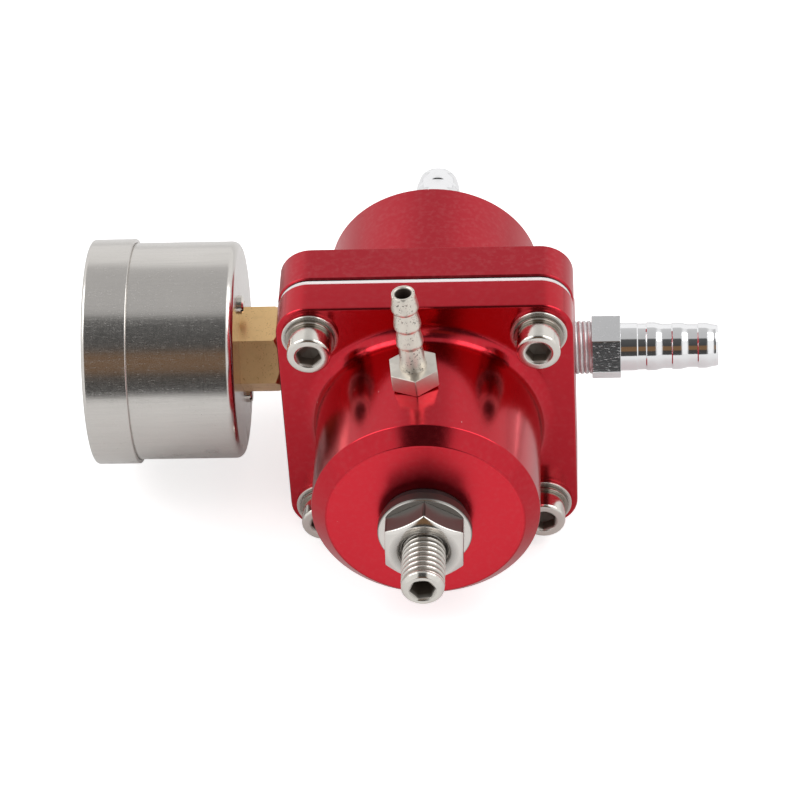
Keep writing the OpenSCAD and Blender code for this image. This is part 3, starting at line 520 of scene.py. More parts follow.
class Wire:
    """A node's output that takes part in Python arithmetic."""

    def __init__(self, graph: Graph, socket: bpy.types.NodeSocket) -> None:
        """Wraps a socket.

        Args:
            graph: The graph that the socket is in.
            socket: The output socket.
        """
        self.graph = graph
        self.socket = socket

    def _math(self, operation: str, left: Any, right: Any) -> Wire:
        """Adds one Math node."""
        return self.graph.node("ShaderNodeMath", {"operation": operation}, {0: left, 1: right})

    def __add__(self, other: Any) -> Wire:
        """Sum."""
        return self._math("ADD", self, other)

    def __radd__(self, other: Any) -> Wire:
        """Sum with a number on the left."""
        return self._math("ADD", other, self)

    def __sub__(self, other: Any) -> Wire:
        """Difference."""
        return self._math("SUBTRACT", self, other)

    def __rsub__(self, other: Any) -> Wire:
        """Difference with a number on the left."""
        return self._math("SUBTRACT", other, self)

    def __mul__(self, other: Any) -> Wire:
        """Product."""
        return self._math("MULTIPLY", self, other)

    def __rmul__(self, other: Any) -> Wire:
        """Product with a number on the left."""
        return self._math("MULTIPLY", other, self)

    def above(self, edge: float) -> Wire:
        """One where the value is above an edge, otherwise zero."""
        return self._math("GREATER_THAN", self, edge)

    def step(self, low: float, high: float) -> Wire:
        """Goes smoothly from 0 at low to 1 at high."""
        sockets = {"Value": self, "From Min": low, "From Max": high}
        return self.graph.node("ShaderNodeMapRange", {"interpolation_type": "SMOOTHSTEP"}, sockets)


class Graph:
    """One node tree and the way nodes are added to it."""

    def __init__(self, tree: bpy.types.NodeTree) -> None:
        """Empties a node tree.

        Args:
            tree: The tree of a material or of the world.
        """
        self.tree = tree
        tree.nodes.clear()

    def node(
        self, kind: str, settings: Optional[dict[str, Any]] = None,
        sockets: Optional[dict[Union[str, int], Any]] = None, out: Union[str, int] = 0,
    ) -> Wire:
        """Adds a node.

        Args:
            kind: The node's type.
            settings: Its properties, set first; stops are a colour ramp's stops.
            sockets: Values or wires for its inputs.
            out: Which output is returned.

        Returns:
            The chosen output.
        """
        made = self.tree.nodes.new(kind)
        for key, value in (settings or {}).items():
            if key == "stops":
                ramp = made.color_ramp.elements
                while len(ramp) < len(value):
                    ramp.new(1.0)
                for element, (place, colour) in zip(ramp, value):
                    element.position, element.color = place, (*colour, 1.0)
            else:
                setattr(made, key, value)
        for key, value in (sockets or {}).items():
            if isinstance(value, Wire):
                self.tree.links.new(value.socket, made.inputs[key])
            else:
                made.inputs[key].default_value = value
        outputs = made.outputs
        return Wire(self, outputs[out] if len(outputs) else None)

    def coords(self, stretch: Sequence[float] = (1.0, 1.0, 1.0)) -> Wire:
        """Object coordinates, stretched along the axes."""
        place = self.node("ShaderNodeTexCoord", out="Object")
        return self.node("ShaderNodeMapping", None, {"Vector": place, "Scale": tuple(stretch)})

    def noise(self, scale: float, detail: float = 2.0, stretch: Sequence[float] = (1.0, 1.0, 1.0)) -> Wire:
        """Soft noise between 0 and 1.

        Args:
            scale: Features per metre.
            detail: Finer layers on top.
            stretch: Scale along each axis.

        Returns:
            The noise's value.
        """
        sockets = {"Vector": self.coords(stretch), "Scale": scale, "Detail": detail}
        return self.node("ShaderNodeTexNoise", None, sockets)

    def tone(self) -> Wire:
        """The share of a finish's second tone that the mesh carries."""
        return self.node("ShaderNodeAttribute", {"attribute_name": TONE}, None, "Fac")

    def axis(self, name: str, place: Optional[Wire] = None) -> Wire:
        """One coordinate of a place, which is the object's own unless given."""
        return self.node("ShaderNodeSeparateXYZ", None, {0: place or self.coords()}, name)

    def ray(self, kind: str) -> Wire:
        """One for rays of this kind, otherwise zero."""
        return self.node("ShaderNodeLightPath", out=f"Is {kind} Ray")

    def specks(self, scale: float, size: float, share: float) -> Wire:
        """Scattered round specks.

        Args:
            scale: Cells per metre.
            size: Speck radius as a share of a cell.
            share: Share of cells that hold a speck.

        Returns:
            One inside a speck, otherwise zero.
        """
        place = {"Vector": self.coords(), "Scale": scale}
        near = self.node("ShaderNodeTexVoronoi", None, place, "Distance")
        pick = self.node("ShaderNodeTexVoronoi", None, place, "Color")
        chance = self.node("ShaderNodeSeparateColor", None, {"Color": pick})
        return (1 - near.step(0.5 * size, size)) * chance.above(1 - share)

    def mix(self, share: Any, first: Any, second: Any) -> Wire:
        """Mixes two colours.

        Args:
            share: How much of the second colour, from 0 to 1.
            first: A colour or a wire.
            second: A colour or a wire.

        Returns:
            The mixed colour.
        """
        sockets = {0: share, 6: rgba(first), 7: rgba(second)}
        return self.node("ShaderNodeMix", {"data_type": "RGBA", "clamp_factor": True}, sockets, 2)

    def bump(self, height: Wire, depth: float) -> Wire:
        """Turns a height into a normal.

        Args:
            height: The height, about 0 to 1.
            depth: What a height of one stands for, in millimetres.

        Returns:
            The bumped normal.
        """
        return self.node("ShaderNodeBump", None, {"Height": height, "Distance": depth * MM})


def rgba(colour: Any) -> Any:
    """Adds full alpha to a plain colour and leaves a wire alone."""
    return colour if isinstance(colour, Wire) else (*colour, 1.0)


def shade(colour: Colour, share: float) -> Colour:
    """Makes a colour darker or lighter by a factor."""
    return tuple(min(1.0, c * share) for c in colour)


def material_of(name: str, build: Callable[[Graph], Wire]) -> bpy.types.Material:
    """Makes a material.

    Args:
        name: The material's name.
        build: Adds the shader to the material's graph.

    Returns:
        The new material.
    """
    made = bpy.data.materials.new(name)
    made.use_nodes = True
    graph = Graph(made.node_tree)
    graph.node("ShaderNodeOutputMaterial", None, {"Surface": build(graph)})
    return made


# Finishes

MADE: dict[str, bpy.types.Material] = {}


@dataclass(frozen=True)
class Finish:
    """A surface finish.

    Attributes:
        name: The material's name.
        colour: Its main colour, linear.
        rough: Its mean roughness.
    """

    name: str
    colour: Colour
    rough: float

    def material(self) -> bpy.types.Material:
        """Makes the material once.

        Returns:
            The material.
        """
        if self.name not in MADE:
            MADE[self.name] = material_of(self.name, self.surface)
            MADE[self.name].diffuse_color = rgba(self.colour)
        return MADE[self.name]

    def surface(self, graph: Graph) -> Wire:
        """Builds the shader.

        Args:
            graph: The material's graph.

        Returns:
            The shader's output.
        """
        raise NotImplementedError

    def shader(self, graph: Graph, **sockets: Any) -> Wire:
        """Adds the Principled shader.

        Args:
            graph: The material's graph.
            sockets: Its inputs, named with underscores for spaces.

        Returns:
            The shader's output.
        """
        named = {key.replace("_", " "): value for key, value in sockets.items()}
        return graph.node("ShaderNodeBsdfPrincipled", None, named)


@dataclass(frozen=True)
class Anodised(Finish):
    """Dyed anodised aluminium with a satin skin, light dust and specks, and a painted highlight where the
    second tone is full.

    Attributes:
        dust: Share of the pale dust film.
        satin: Roughness added where the second tone is full.
    """

    dust: float = 0.05
    satin: float = 0.12

    def surface(self, graph: Graph) -> Wire:
        """Builds the shader of the dyed oxide skin."""
        cloud = graph.noise(70, 3)
        grain = graph.noise(5200, 2)
        film = graph.noise(1100, 4).step(0.4, 0.85)
        specks = graph.specks(260, 0.03, 0.45)
        tone = graph.tone()
        skin = graph.mix(cloud, shade(self.colour, 0.94), shade(self.colour, 1.05))
        # Where the second tone is full the red is painted lighter: a painted highlight on the cap's turned
        # face, bore and chamber.
        dye_and_painted_highlight = graph.mix(tone, skin, shade(self.colour, 1.4))
        dusty = graph.mix(film * self.dust, dye_and_painted_highlight, (0.6, 0.32, 0.32))
        worn = self.rough + 0.06 * (cloud - 0.5) + 0.04 * grain
        return self.shader(
            graph,
            Base_Color=graph.mix(specks * 0.75, dusty, (0.8, 0.62, 0.6)),
            Metallic=1.0 - 0.6 * specks,
            Roughness=worn + film * self.dust + tone * self.satin,
            Coat_Weight=0.06,
            Coat_Roughness=0.1,
            Normal=graph.bump(grain, 0.004),
        )


@dataclass(frozen=True)
class BareMetal(Finish):
    """Bare or plated metal with fine marks and painted shade in its grooves.

    Attributes:
        pits: Amount of small cast pits, from 0 to 1.
        marks: Stretch of the fine tool marks along X, Y and Z.
        painted_shade: Colour of the painted shade in grooves, sockets, bores and under washers, and of
            painted dark reflections; the second tone.
        tarnish: Share of dull, darker patches.
        nicks: Amount of fine scratches, from 0 to 1.
        matte: Share of the metal shine that the second tone takes.
    """

    pits: float = 0.0
    marks: tuple[float, float, float] = (1.0, 1.0, 1.0)
    painted_shade: Colour = (0.13, 0.1, 0.08)
    tarnish: float = 0.25
    nicks: float = 0.0
    matte: float = 0.85

    def surface(self, graph: Graph) -> Wire:
        """Builds the shader of the bare metal."""
        cloud = graph.noise(180, 4)
        fine = graph.noise(3000, 2, self.marks)
        patch = graph.noise(520, 4).step(0.5, 0.75) * self.tarnish
        tone = graph.tone()
        metal = graph.mix(cloud, shade(self.colour, 0.93), shade(self.colour, 1.05))
        # The second tone is painted shade: darker in grooves, sockets and bores, and on the nut's and
        # washer's sides a painted dark reflection.
        colour = graph.mix(tone, graph.mix(patch, metal, shade(self.colour, 0.72)), self.painted_shade)
        rough = self.rough + 0.1 * (fine - 0.5) + 0.12 * patch + (0.1 + 0.25 * self.matte) * tone
        height = fine * 0.5
        if self.nicks:
            nick = graph.noise(3600, 4, self.marks).step(0.56, 0.72) * self.nicks
            height = height - nick * 1.5
            rough = rough + 0.5 * nick
        if self.pits:
            pit = graph.noise(3000, 2).step(0.6, 0.66) * graph.noise(420, 2).step(0.38, 0.56)
            colour = graph.mix(pit * self.pits, colour, shade(self.colour, 0.1))
            height = height - pit * (6.0 * self.pits) + graph.noise(900, 3) * (3.0 * self.pits)
            rough = rough + 0.25 * pit
        return self.shader(
            graph, Base_Color=colour, Metallic=1 - self.matte * tone, Roughness=rough,
            Normal=graph.bump(height, 0.008),
        )


@dataclass(frozen=True)
class BrushedCase(Finish):
    """Drawn stainless sheet with long fine scratches and a few scuffs."""

    def surface(self, graph: Graph) -> Wire:
        """Builds the shader of the drawn sheet."""
        long = graph.noise(900, 3, (0.12, 3.0, 3.0))
        about = graph.noise(1400, 2, (2.5, 0.25, 0.25))
        cloud = graph.noise(90, 3)
        low = 1 - graph.axis("Z").step(0.012, 0.022)
        scuff = graph.noise(330, 5, (1.0, 1.0, 1.6)).step(0.58, 0.66) * low
        nick = graph.noise(4600, 5, (0.25, 1.2, 1.2)).step(0.42, 0.85)
        metal = graph.mix(cloud, shade(self.colour, 0.95), shade(self.colour, 1.04))
        streaked = graph.mix(long.step(0.35, 0.8) * 0.25, metal, shade(self.colour, 0.8))
        return self.shader(
            graph,
            Base_Color=graph.mix(scuff * 0.5, streaked, shade(self.colour, 0.45)),
            Metallic=1.0,
            Roughness=self.rough + 0.1 * (long - 0.5) + 0.08 * (about - 0.5) + 0.15 * scuff + 0.1 * nick,
            Normal=graph.bump(long * 0.6 + about * 0.4 - scuff - nick * 0.3, 0.004),
        )


@dataclass(frozen=True)
class Rubber(Finish):
    """Moulded black rubber with a matte, faintly dusty skin."""

    def surface(self, graph: Graph) -> Wire:
        """Builds the shader of the rubber."""
        grain = graph.noise(2600, 3)
        dust = graph.noise(300, 4).step(0.5, 0.8)
        return self.shader(
            graph,
            Base_Color=graph.mix(dust * 0.4, self.colour, (0.06, 0.055, 0.05)),
            Roughness=self.rough + 0.15 * (grain - 0.5),
            Normal=graph.bump(grain, 0.02),
        )


@dataclass(frozen=True)
class Laminate(Finish):
    """Pale coated fabric with a thin dark rubber skin towards the base.

    Attributes:
        split: Where the rubber skin starts along Y, in millimetres.
        rubber: Colour of the rubber skin.
    """

    split: float = -4.75
    rubber: Colour = (0.02, 0.018, 0.018)

    def surface(self, graph: Graph) -> Wire:
        """Builds the shader of the two layers."""
        weave = graph.noise(2400, 2)
        dirt = graph.noise(260, 4).step(0.5, 0.8)
        skin = graph.axis("Y").above(self.split * MM)
        fabric = graph.mix(dirt * 0.25, self.colour, shade(self.colour, 0.6))
        return self.shader(
            graph,
            Base_Color=graph.mix(skin, fabric, self.rubber),
            Roughness=self.rough + 0.2 * (weave - 0.5),
            Normal=graph.bump(weave, 0.02),
        )


@dataclass(frozen=True)
class Paint(Finish):
    """Thin paint or print on metal."""

    def surface(self, graph: Graph) -> Wire:
        """Builds the shader of the paint."""
        grain = graph.noise(2200, 2)
        cloud = graph.noise(220, 3)
        return self.shader(
            graph,
            Base_Color=graph.mix(cloud, shade(self.colour, 0.94), self.colour),
            Roughness=self.rough + 0.1 * (grain - 0.5),
            Normal=graph.bump(grain, 0.004),
        )


@dataclass(frozen=True)
class Glass(Finish):
    """Clear gauge glass with a trace of smears."""

    def surface(self, graph: Graph) -> Wire:
        """Builds the shader of the glass."""
        smear = graph.noise(140, 4).step(0.45, 0.8)
        return self.shader(
            graph, Base_Color=rgba(self.colour), Roughness=self.rough + 0.05 * smear,
            Transmission_Weight=1.0, IOR=1.45, Normal=graph.bump(smear, 0.001),
        )


RED = Anodised("red_anodised", (0.5, 0.022, 0.034), 0.16)
# The base's red is a darker copy of the cap's red: painted shade, in addition to its real dust film.
RED_REAR_SHADED = Anodised("red_anodised_dusty_shaded", (0.46, 0.024, 0.037), 0.28, dust=0.1)
NICKEL = BareMetal("nickel_plate", (0.7, 0.67, 0.62), 0.15, painted_shade=(0.11, 0.085, 0.065))
# The nut's painted shade is near black, standing for the dark reflection on its sides.
NUT_NICKEL = BareMetal(
    "nickel_nut", (0.74, 0.71, 0.67), 0.12, painted_shade=(0.035, 0.03, 0.026), tarnish=0.15, matte=0.5
)
CAST_NICKEL = BareMetal("nickel_cast", (0.76, 0.71, 0.63), 0.3, pits=0.9, painted_shade=(0.05, 0.035, 0.026))
SATIN_NICKEL = BareMetal("nickel_satin", (0.66, 0.62, 0.56), 0.3, tarnish=0.35, nicks=0.2)
PLATED = BareMetal("zinc_plate", (0.6, 0.56, 0.5), 0.24)
SPRING_WASHER = BareMetal("spring_washer", (0.33, 0.3, 0.265), 0.18)
SPRING = BareMetal("spring_wire", (0.25, 0.25, 0.27), 0.35)
# Pale painted shade for the aluminium fittings' thread roots and bores.
PALE_SHADE = (0.6, 0.6, 0.6)
TURNED_ALUMINIUM = BareMetal(
    "turned_aluminium", (0.88, 0.88, 0.89), 0.08, marks=(8, 0.4, 0.4), painted_shade=PALE_SHADE, tarnish=0.1
)
MILLED_ALUMINIUM = BareMetal(
    "milled_aluminium", (0.8, 0.8, 0.81), 0.12, marks=(0.3, 1, 1), painted_shade=PALE_SHADE, tarnish=0.1, nicks=0.45
)
BRASS = BareMetal(
    "brass", (0.92, 0.62, 0.3), 0.34, pits=0.25, marks=(1.0, 1.5, 1.5), painted_shade=(0.08, 0.05, 0.02), tarnish=0.35
)
CLOCK_BRASS = BareMetal("clock_brass", (0.66, 0.46, 0.2), 0.24)
STAINLESS = BrushedCase("stainless_sheet", (0.63, 0.605, 0.575), 0.2)
STEEL_PART = BareMetal("steel_turned", (0.58, 0.57, 0.55), 0.22)
RUBBER = Rubber("black_rubber", (0.012, 0.012, 0.012), 0.6)
FABRIC = Laminate("coated_fabric", (0.85, 0.8, 0.8), 0.6)
DIAL = Paint("dial_paint", (0.86, 0.86, 0.83), 0.45)
INK = Paint("dial_print", (0.015, 0.015, 0.016), 0.5)
POINTER = Paint("pointer_paint", (0.02, 0.02, 0.02), 0.4)
LENS = Glass("gauge_glass", (0.97, 0.98, 0.98), 0.01)


# Sub-assemblies


@dataclass
class SpringCap:
    """The front body half: square flange, filleted barrel and chamfered end."""

    half: float = 27.5
    corner: float = 6.2
    edge: float = 0.3
    barrel: float = 21.0
    fillet: float = 2.8
    chamfer: float = 2.7
    rim: float = 0.4
    soft: float = 0.15
    bore: float = 4.05
    chamber: float = 15.0
    chamber_top: float = 30.4
    cavity: float = 17.9
    cavity_top: float = 5.2

    def build(self) -> None:
        """Makes the cap as one closed skin, its chamber included."""
        inner = rounded_square(self.half - self.edge, self.corner - self.edge)
        outer = rounded_square(self.half, self.corner)
        joint, flange, face = LAYOUT.joint, LAYOUT.cap_flange, LAYOUT.cap_face
        shoulder = self.barrel - self.chamfer
        skin = RingStack(288)
        skin.ring(self.cavity, joint).ring(inner, joint)
        skin.ring(outer, joint + self.edge).ring(outer, flange - self.edge).ring(inner, flange)
        skin.arc((self.barrel + self.fillet, flange + self.fillet), self.fillet, 270, 180, 10)
        skin.rings((self.barrel, face - self.chamfer), (shoulder, face))
        # The front face, bore and chamber take the second tone: a rougher red, painted lighter as a painted
        # highlight.
        skin.rings((shoulder - self.rim, face), (self.bore, face), tone=1.0)
        skin.rings((self.bore, self.chamber_top), (self.chamber, self.chamber_top), tone=1.0)
        skin.rings((self.chamber, self.cavity_top), (self.cavity, self.cavity_top), tone=1.0)
        skin.close().soften(self.soft)
        Piece("cap_shell").add(skin, LAYOUT.body()).finish(RED, Slot.RED, Body.HOUSING, "spring_cap")


@dataclass
class SoftCopy:
    """A CAD node's shape with its sharp edges rounded.

    Attributes:
        name: The new piece's name.
        node: The CAD node it stands for.
        finish: Its finish.
        slot: Its material slot.
        width: Width of the rounding in millimetres.
        flat: Faces that turn by less than this many degrees become one.
        over: Edges that turn by more than this many degrees are rounded.
    """

    name: str
    node: str
    finish: Finish
    slot: Slot
    width: float
    flat: float = 0.4
    over: float = 30.0

    def build(self, nodes: dict[str, bpy.types.Object]) -> None:
        """Rounds the edges of a merged copy.

        Args:
            nodes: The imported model's objects by node name.
        """
        bm = merged(nodes[self.node])
        limit = math.radians(self.flat)
        bmesh.ops.dissolve_limit(
            bm, angle_limit=limit, verts=bm.verts, edges=bm.edges, use_dissolve_boundaries=False
        )
        soften_edges(bm, self.width, self.over)
        Piece(self.name).add(bm, STILL).finish(self.finish, self.slot, Body.HOUSING, self.node)


@dataclass
class CapScrews:
    """Four socket screws with their split washers and flat washers."""

    spread: float = 21.1
    flat_size: float = 10.6
    flat_thick: float = 0.8
    flat_slack: float = 0.25
    split_size: float = 9.2
    split_thick: float = 1.0
    split_slack: float = 0.05
    shank: float = 5.0
    end: float = -7.0
    point: float = 0.5
    head: float = 8.1
    head_high: float = 4.2
    under: float = 0.15
    crown: float = 0.55
    key: float = 4.0
    key_deep: float = 2.2
    turns: tuple[float, ...] = (12.0, 47.0, 25.0, 3.0)
    gap: float = 14.0
    gap_turn: float = 200.0

    def screw(self) -> RingStack:
        """Makes one screw with its head and hexagon socket."""
        seat = LAYOUT.cap_flange + self.flat_thick + self.split_thick
        top, out, rod = seat + self.head_high, self.head / 2, self.shank / 2
        key = hexagon(self.key)
        corner, bottom = key(0), top - self.key_deep
        stack = RingStack(72).rings((rod - self.point, self.end), (rod, self.end + self.point), (rod, seat))
        stack.rings((out - self.under, seat), (out, seat + self.under))
        stack.arc((out - self.crown, top - self.crown), self.crown, 0, 90, 5)
        # The socket's rim and walls take painted shade, which is full at the bottom.
        stack.ring(corner + 0.35, top).ring(corner + 0.1, top - 0.12, 0.3)
        stack.ring(key, top - 0.4, 1.0).ring(key, bottom, 1.0)
        return stack.rings((0.2, bottom - 0.5), tone=1.0).cap().cap_start()

    def split_washer(self) -> bmesh.types.BMesh:
        """Makes one split spring washer."""
        bm = toned_mesh()
        low = LAYOUT.cap_flange + self.flat_thick
        high = low + self.split_thick
        inner, outer = self.shank / 2 + self.split_slack, self.split_size / 2
        spots = ((inner, low), (outer, low), (outer, high), (inner, high))
        face = bm.faces.new([bm.verts.new(Vector((r, 0, z)) * MM) for r, z in spots])
        bmesh.ops.rotate(bm, verts=bm.verts, matrix=Matrix.Rotation(math.radians(self.gap_turn), 3, "Z"))
        bmesh.ops.spin(
            bm, geom=[face, *face.edges, *face.verts], cent=(0, 0, 0), axis=(0, 0, 1), dvec=(0, 0, 0),
            angle=math.radians(360 - self.gap), steps=64, use_merge=False,
        )
        soften_edges(bm, 0.12, 40)
        return bm

    def flat_washer(self) -> RingStack:
        """Makes one flat washer."""
        low, high = LAYOUT.cap_flange, LAYOUT.cap_flange + self.flat_thick
        inner, outer = self.shank / 2 + self.flat_slack, self.flat_size / 2
        stack = RingStack(72).rings((inner, low), (outer, low), (outer, high))
        # The top inside the split washer takes painted shade, under the split washer.
        return stack.rings((self.split_size / 2, high), (inner, high), tone=0.45).close().soften(0.15)

    def build(self) -> None:
        """Makes the three sets."""
        screws, splits, flats = Piece("socket_screws"), Piece("split_washers"), Piece("plain_washers")
        places = [(x, y) for x in (-self.spread, self.spread) for y in (-self.spread, self.spread)]
        for (x, y), turn in zip(places, self.turns):
            spot = LAYOUT.body() @ moved(x, y, 0)
            screws.add(self.screw().soften(0.08), spot @ turned(0, 0, turn))
            splits.add(self.split_washer(), spot)
            flats.add(self.flat_washer(), spot)
        screws.finish(NICKEL, Slot.NICKEL, Body.HOUSING, "cap_screws")
        splits.finish(SPRING_WASHER, Slot.PLATED, Body.HOUSING, "spring_washers")
        flats.finish(NICKEL, Slot.NICKEL, Body.HOUSING, "flat_washers")


@dataclass
class Adjuster:
    """The threaded adjusting screw with its lock nut, washer and seal ring."""

    screw: float = 8.0
    pitch: float = 1.25
    root: float = 0.55
    inner_end: float = 24.8
    lead: float = 0.4
    tip: float = 54.9
    point: float = 0.75
    collar: float = 1.3
    runout: float = 1.9
    key: float = 4.0
    key_deep: float = 5.0
    key_turn: float = 8.0
    seal: float = 16.2
    seal_thick: float = 1.8
    washer: float = 17.3
    washer_thick: float = 2.0
    washer_edge: float = 0.3
    # Share of painted shade on the washer's outer side, a painted dark reflection of the cap face.
    washer_side_shade: float = 0.95
    slack: float = 0.25
    nut: float = 14.2
    nut_thick: float = 4.9
    nut_turn: float = 88.0
    nut_flat: float = 0.46
    nut_slope: float = 32.0
    nut_sink: float = 0.9
    # Share of painted shade on the nut's sides, a painted dark reflection of the cap face.
    nut_side_shade: float = 0.88

    def core(self) -> RingStack:
        """Makes the screw's core, its rounded end and its hexagon socket."""
        root, crest = self.screw / 2 - self.root * self.pitch, self.screw / 2
        key, end, bottom = hexagon(self.key), crest - 0.08, self.tip - self.key_deep
        stack = RingStack(72).rings((root - self.lead, self.inner_end), (root, self.inner_end + self.lead))
        stack.ring(root, self.tip - self.runout)
        stack.rings((end, self.tip - self.collar), (end, self.tip - self.point))
        stack.ring(crest - self.point, self.tip).ring(key(0) + 0.3, self.tip)
        # The socket takes painted shade, darkest at its bottom.
        stack.ring(key, self.tip - 0.35, 0.5).ring(key, self.tip - 1.5, 1.0).ring(key, bottom, 1.0)
        return stack.rings((0.2, bottom - 0.6), tone=1.0).cap().cap_start()

    def nut_skin(self) -> RingStack:
        """Makes the lock nut, turned off at its front only."""
        low = LAYOUT.cap_face + self.seal_thick + self.washer_thick
        high, bore, flat = low + self.nut_thick, self.screw / 2 + 0.05, self.nut_flat * self.nut
        side, fall = hexagon(self.nut), math.tan(math.radians(self.nut_slope))

        def brow(angle: float) -> float:
            """Height at which the turned front meets the side."""
            return high - (side(angle) - flat) * fall

        # The sides take painted shade as a painted dark reflection; the bore's chamfer takes half of it.
        stack = RingStack(144).ring(bore, low).ring(side, low, self.nut_side_shade)
        stack.ring(side, lambda angle: brow(angle) - 0.2, self.nut_side_shade).ring(side, brow).ring(flat, high)
        return stack.rings((bore + self.nut_sink, high), (bore, high - self.nut_sink), tone=0.5).close()

    def build(self) -> None:
        """Makes the four pieces."""
        body, face = LAYOUT.body(), LAYOUT.cap_face
        thread = Thread(self.screw, self.pitch, start=self.inner_end + self.lead, end=self.tip - 1.2)
        rod = Piece("threaded_adjuster").add(thread.build(), body)
        rod.add(self.core().soften(0.12), body @ turned(0, 0, self.key_turn))
        rod.finish(NICKEL, Slot.NICKEL, Body.ADJUSTER, "adjusting_screw")
        nut = self.nut_skin().soften(0.2)
        Piece("jam_nut_hex").add(nut, body @ turned(0, 0, self.nut_turn)).finish(
            NUT_NICKEL, Slot.NICKEL, Body.NUT, "lock_nut"
        )
        low = face + self.seal_thick
        high, out, bore = low + self.washer_thick, self.washer / 2, self.screw / 2 + self.slack
        washer = RingStack(144).ring(bore, low)
        # The outer side takes painted shade, a painted dark reflection.
        washer.rings((out, low), (out, high - self.washer_edge), tone=self.washer_side_shade)
        washer.rings((out - self.washer_edge, high), (bore, high)).close().soften(0.12)
        Piece("jam_washer_disc").add(washer, body).finish(
            NUT_NICKEL, Slot.NICKEL, Body.WASHER, "lock_washer"
        )
        out = self.seal / 2
        seal = RingStack(144).rings((bore, face), (out, face), (out, low), (bore, low)).close().soften(0.45)
        Piece("seal_ring").add(seal, body).finish(RUBBER, Slot.RUBBER, Body.HOUSING, "adjuster_seal")


@dataclass
class VacuumNipple:
    """The small cast barb on top of the cap, with its hexagon."""

    seat: float = 21.03
    foot: float = 15.5
    rod: float = 5.8
    hex_across: float = 8.5
    hex_high: float = 3.6
    hex_turn: float = 96.0
    length: float = 17.0
    lead: float = 4.8
    base: float = 4.9
    barb: float = 5.0
    root: float = 4.2
    rise: float = 0.7
    land: float = 1.0
    runout: float = 0.6
    bore: float = 2.8
    barbs: int = 3

    def hexagon_skin(self) -> RingStack:
        """Makes the hexagon with its threaded end."""
        side, top = hexagon(self.hex_across), self.seat + self.hex_high
        hole, rod = self.bore / 2, self.rod / 2
        stack = RingStack(96).rings((hole, self.foot), (rod - 0.3, self.foot), (rod, self.foot + 0.3))
        stack.ring(rod, self.seat).ring(side, self.seat).ring(side, top)
        # The bore's mouth takes painted shade.
        return stack.ring(self.base / 2 - 0.4, top).ring(hole, top, 1.0).close()

    def barb_skin(self) -> RingStack:
        """Makes the tapered foot and the barbs with their bore."""
        top, hole = self.seat + self.hex_high, self.bore / 2
        tip, root, out, base = top + self.length, self.root / 2, self.barb / 2, self.base / 2
        pitch = (self.length - self.lead) / self.barbs
        stack = RingStack(96).ring(hole, top - 0.2).ring(base - 0.1, top - 0.2)
        # The foot against the hexagon takes a little painted shade.
        stack.rings((base + 0.15, top), (base, top + 0.25), tone=0.2)
        for i in range(self.barbs):
            low = top + self.lead + i * pitch
            stack.rings((root, low + 0.1), (out, low + 0.5), (out, low + self.rise + self.land / 2))
            stack.ring(root + 0.05, low + pitch - self.runout)
        # The bore at the tip takes painted shade, full inside.
        stack.rings((root + 0.02, tip), (hole + 0.3, tip)).rings((hole, tip - 0.3), tone=1.0)
        return stack.rings((hole, tip - 3.0), tone=1.0).close()

    def build(self) -> None:
        """Makes the two pieces."""
        place = LAYOUT.nipple()
        barb = Piece("vacuum_barb").add(self.barb_skin().soften(0.3, 9), place)
        barb.finish(CAST_NICKEL, Slot.NICKEL, Body.HOUSING, "vacuum_nipple")
        flats = Piece("vacuum_hex").add(self.hexagon_skin().soften(0.15), place @ turned(0, 0, self.hex_turn))
        flats.finish(SATIN_NICKEL, Slot.NICKEL, Body.HOUSING)


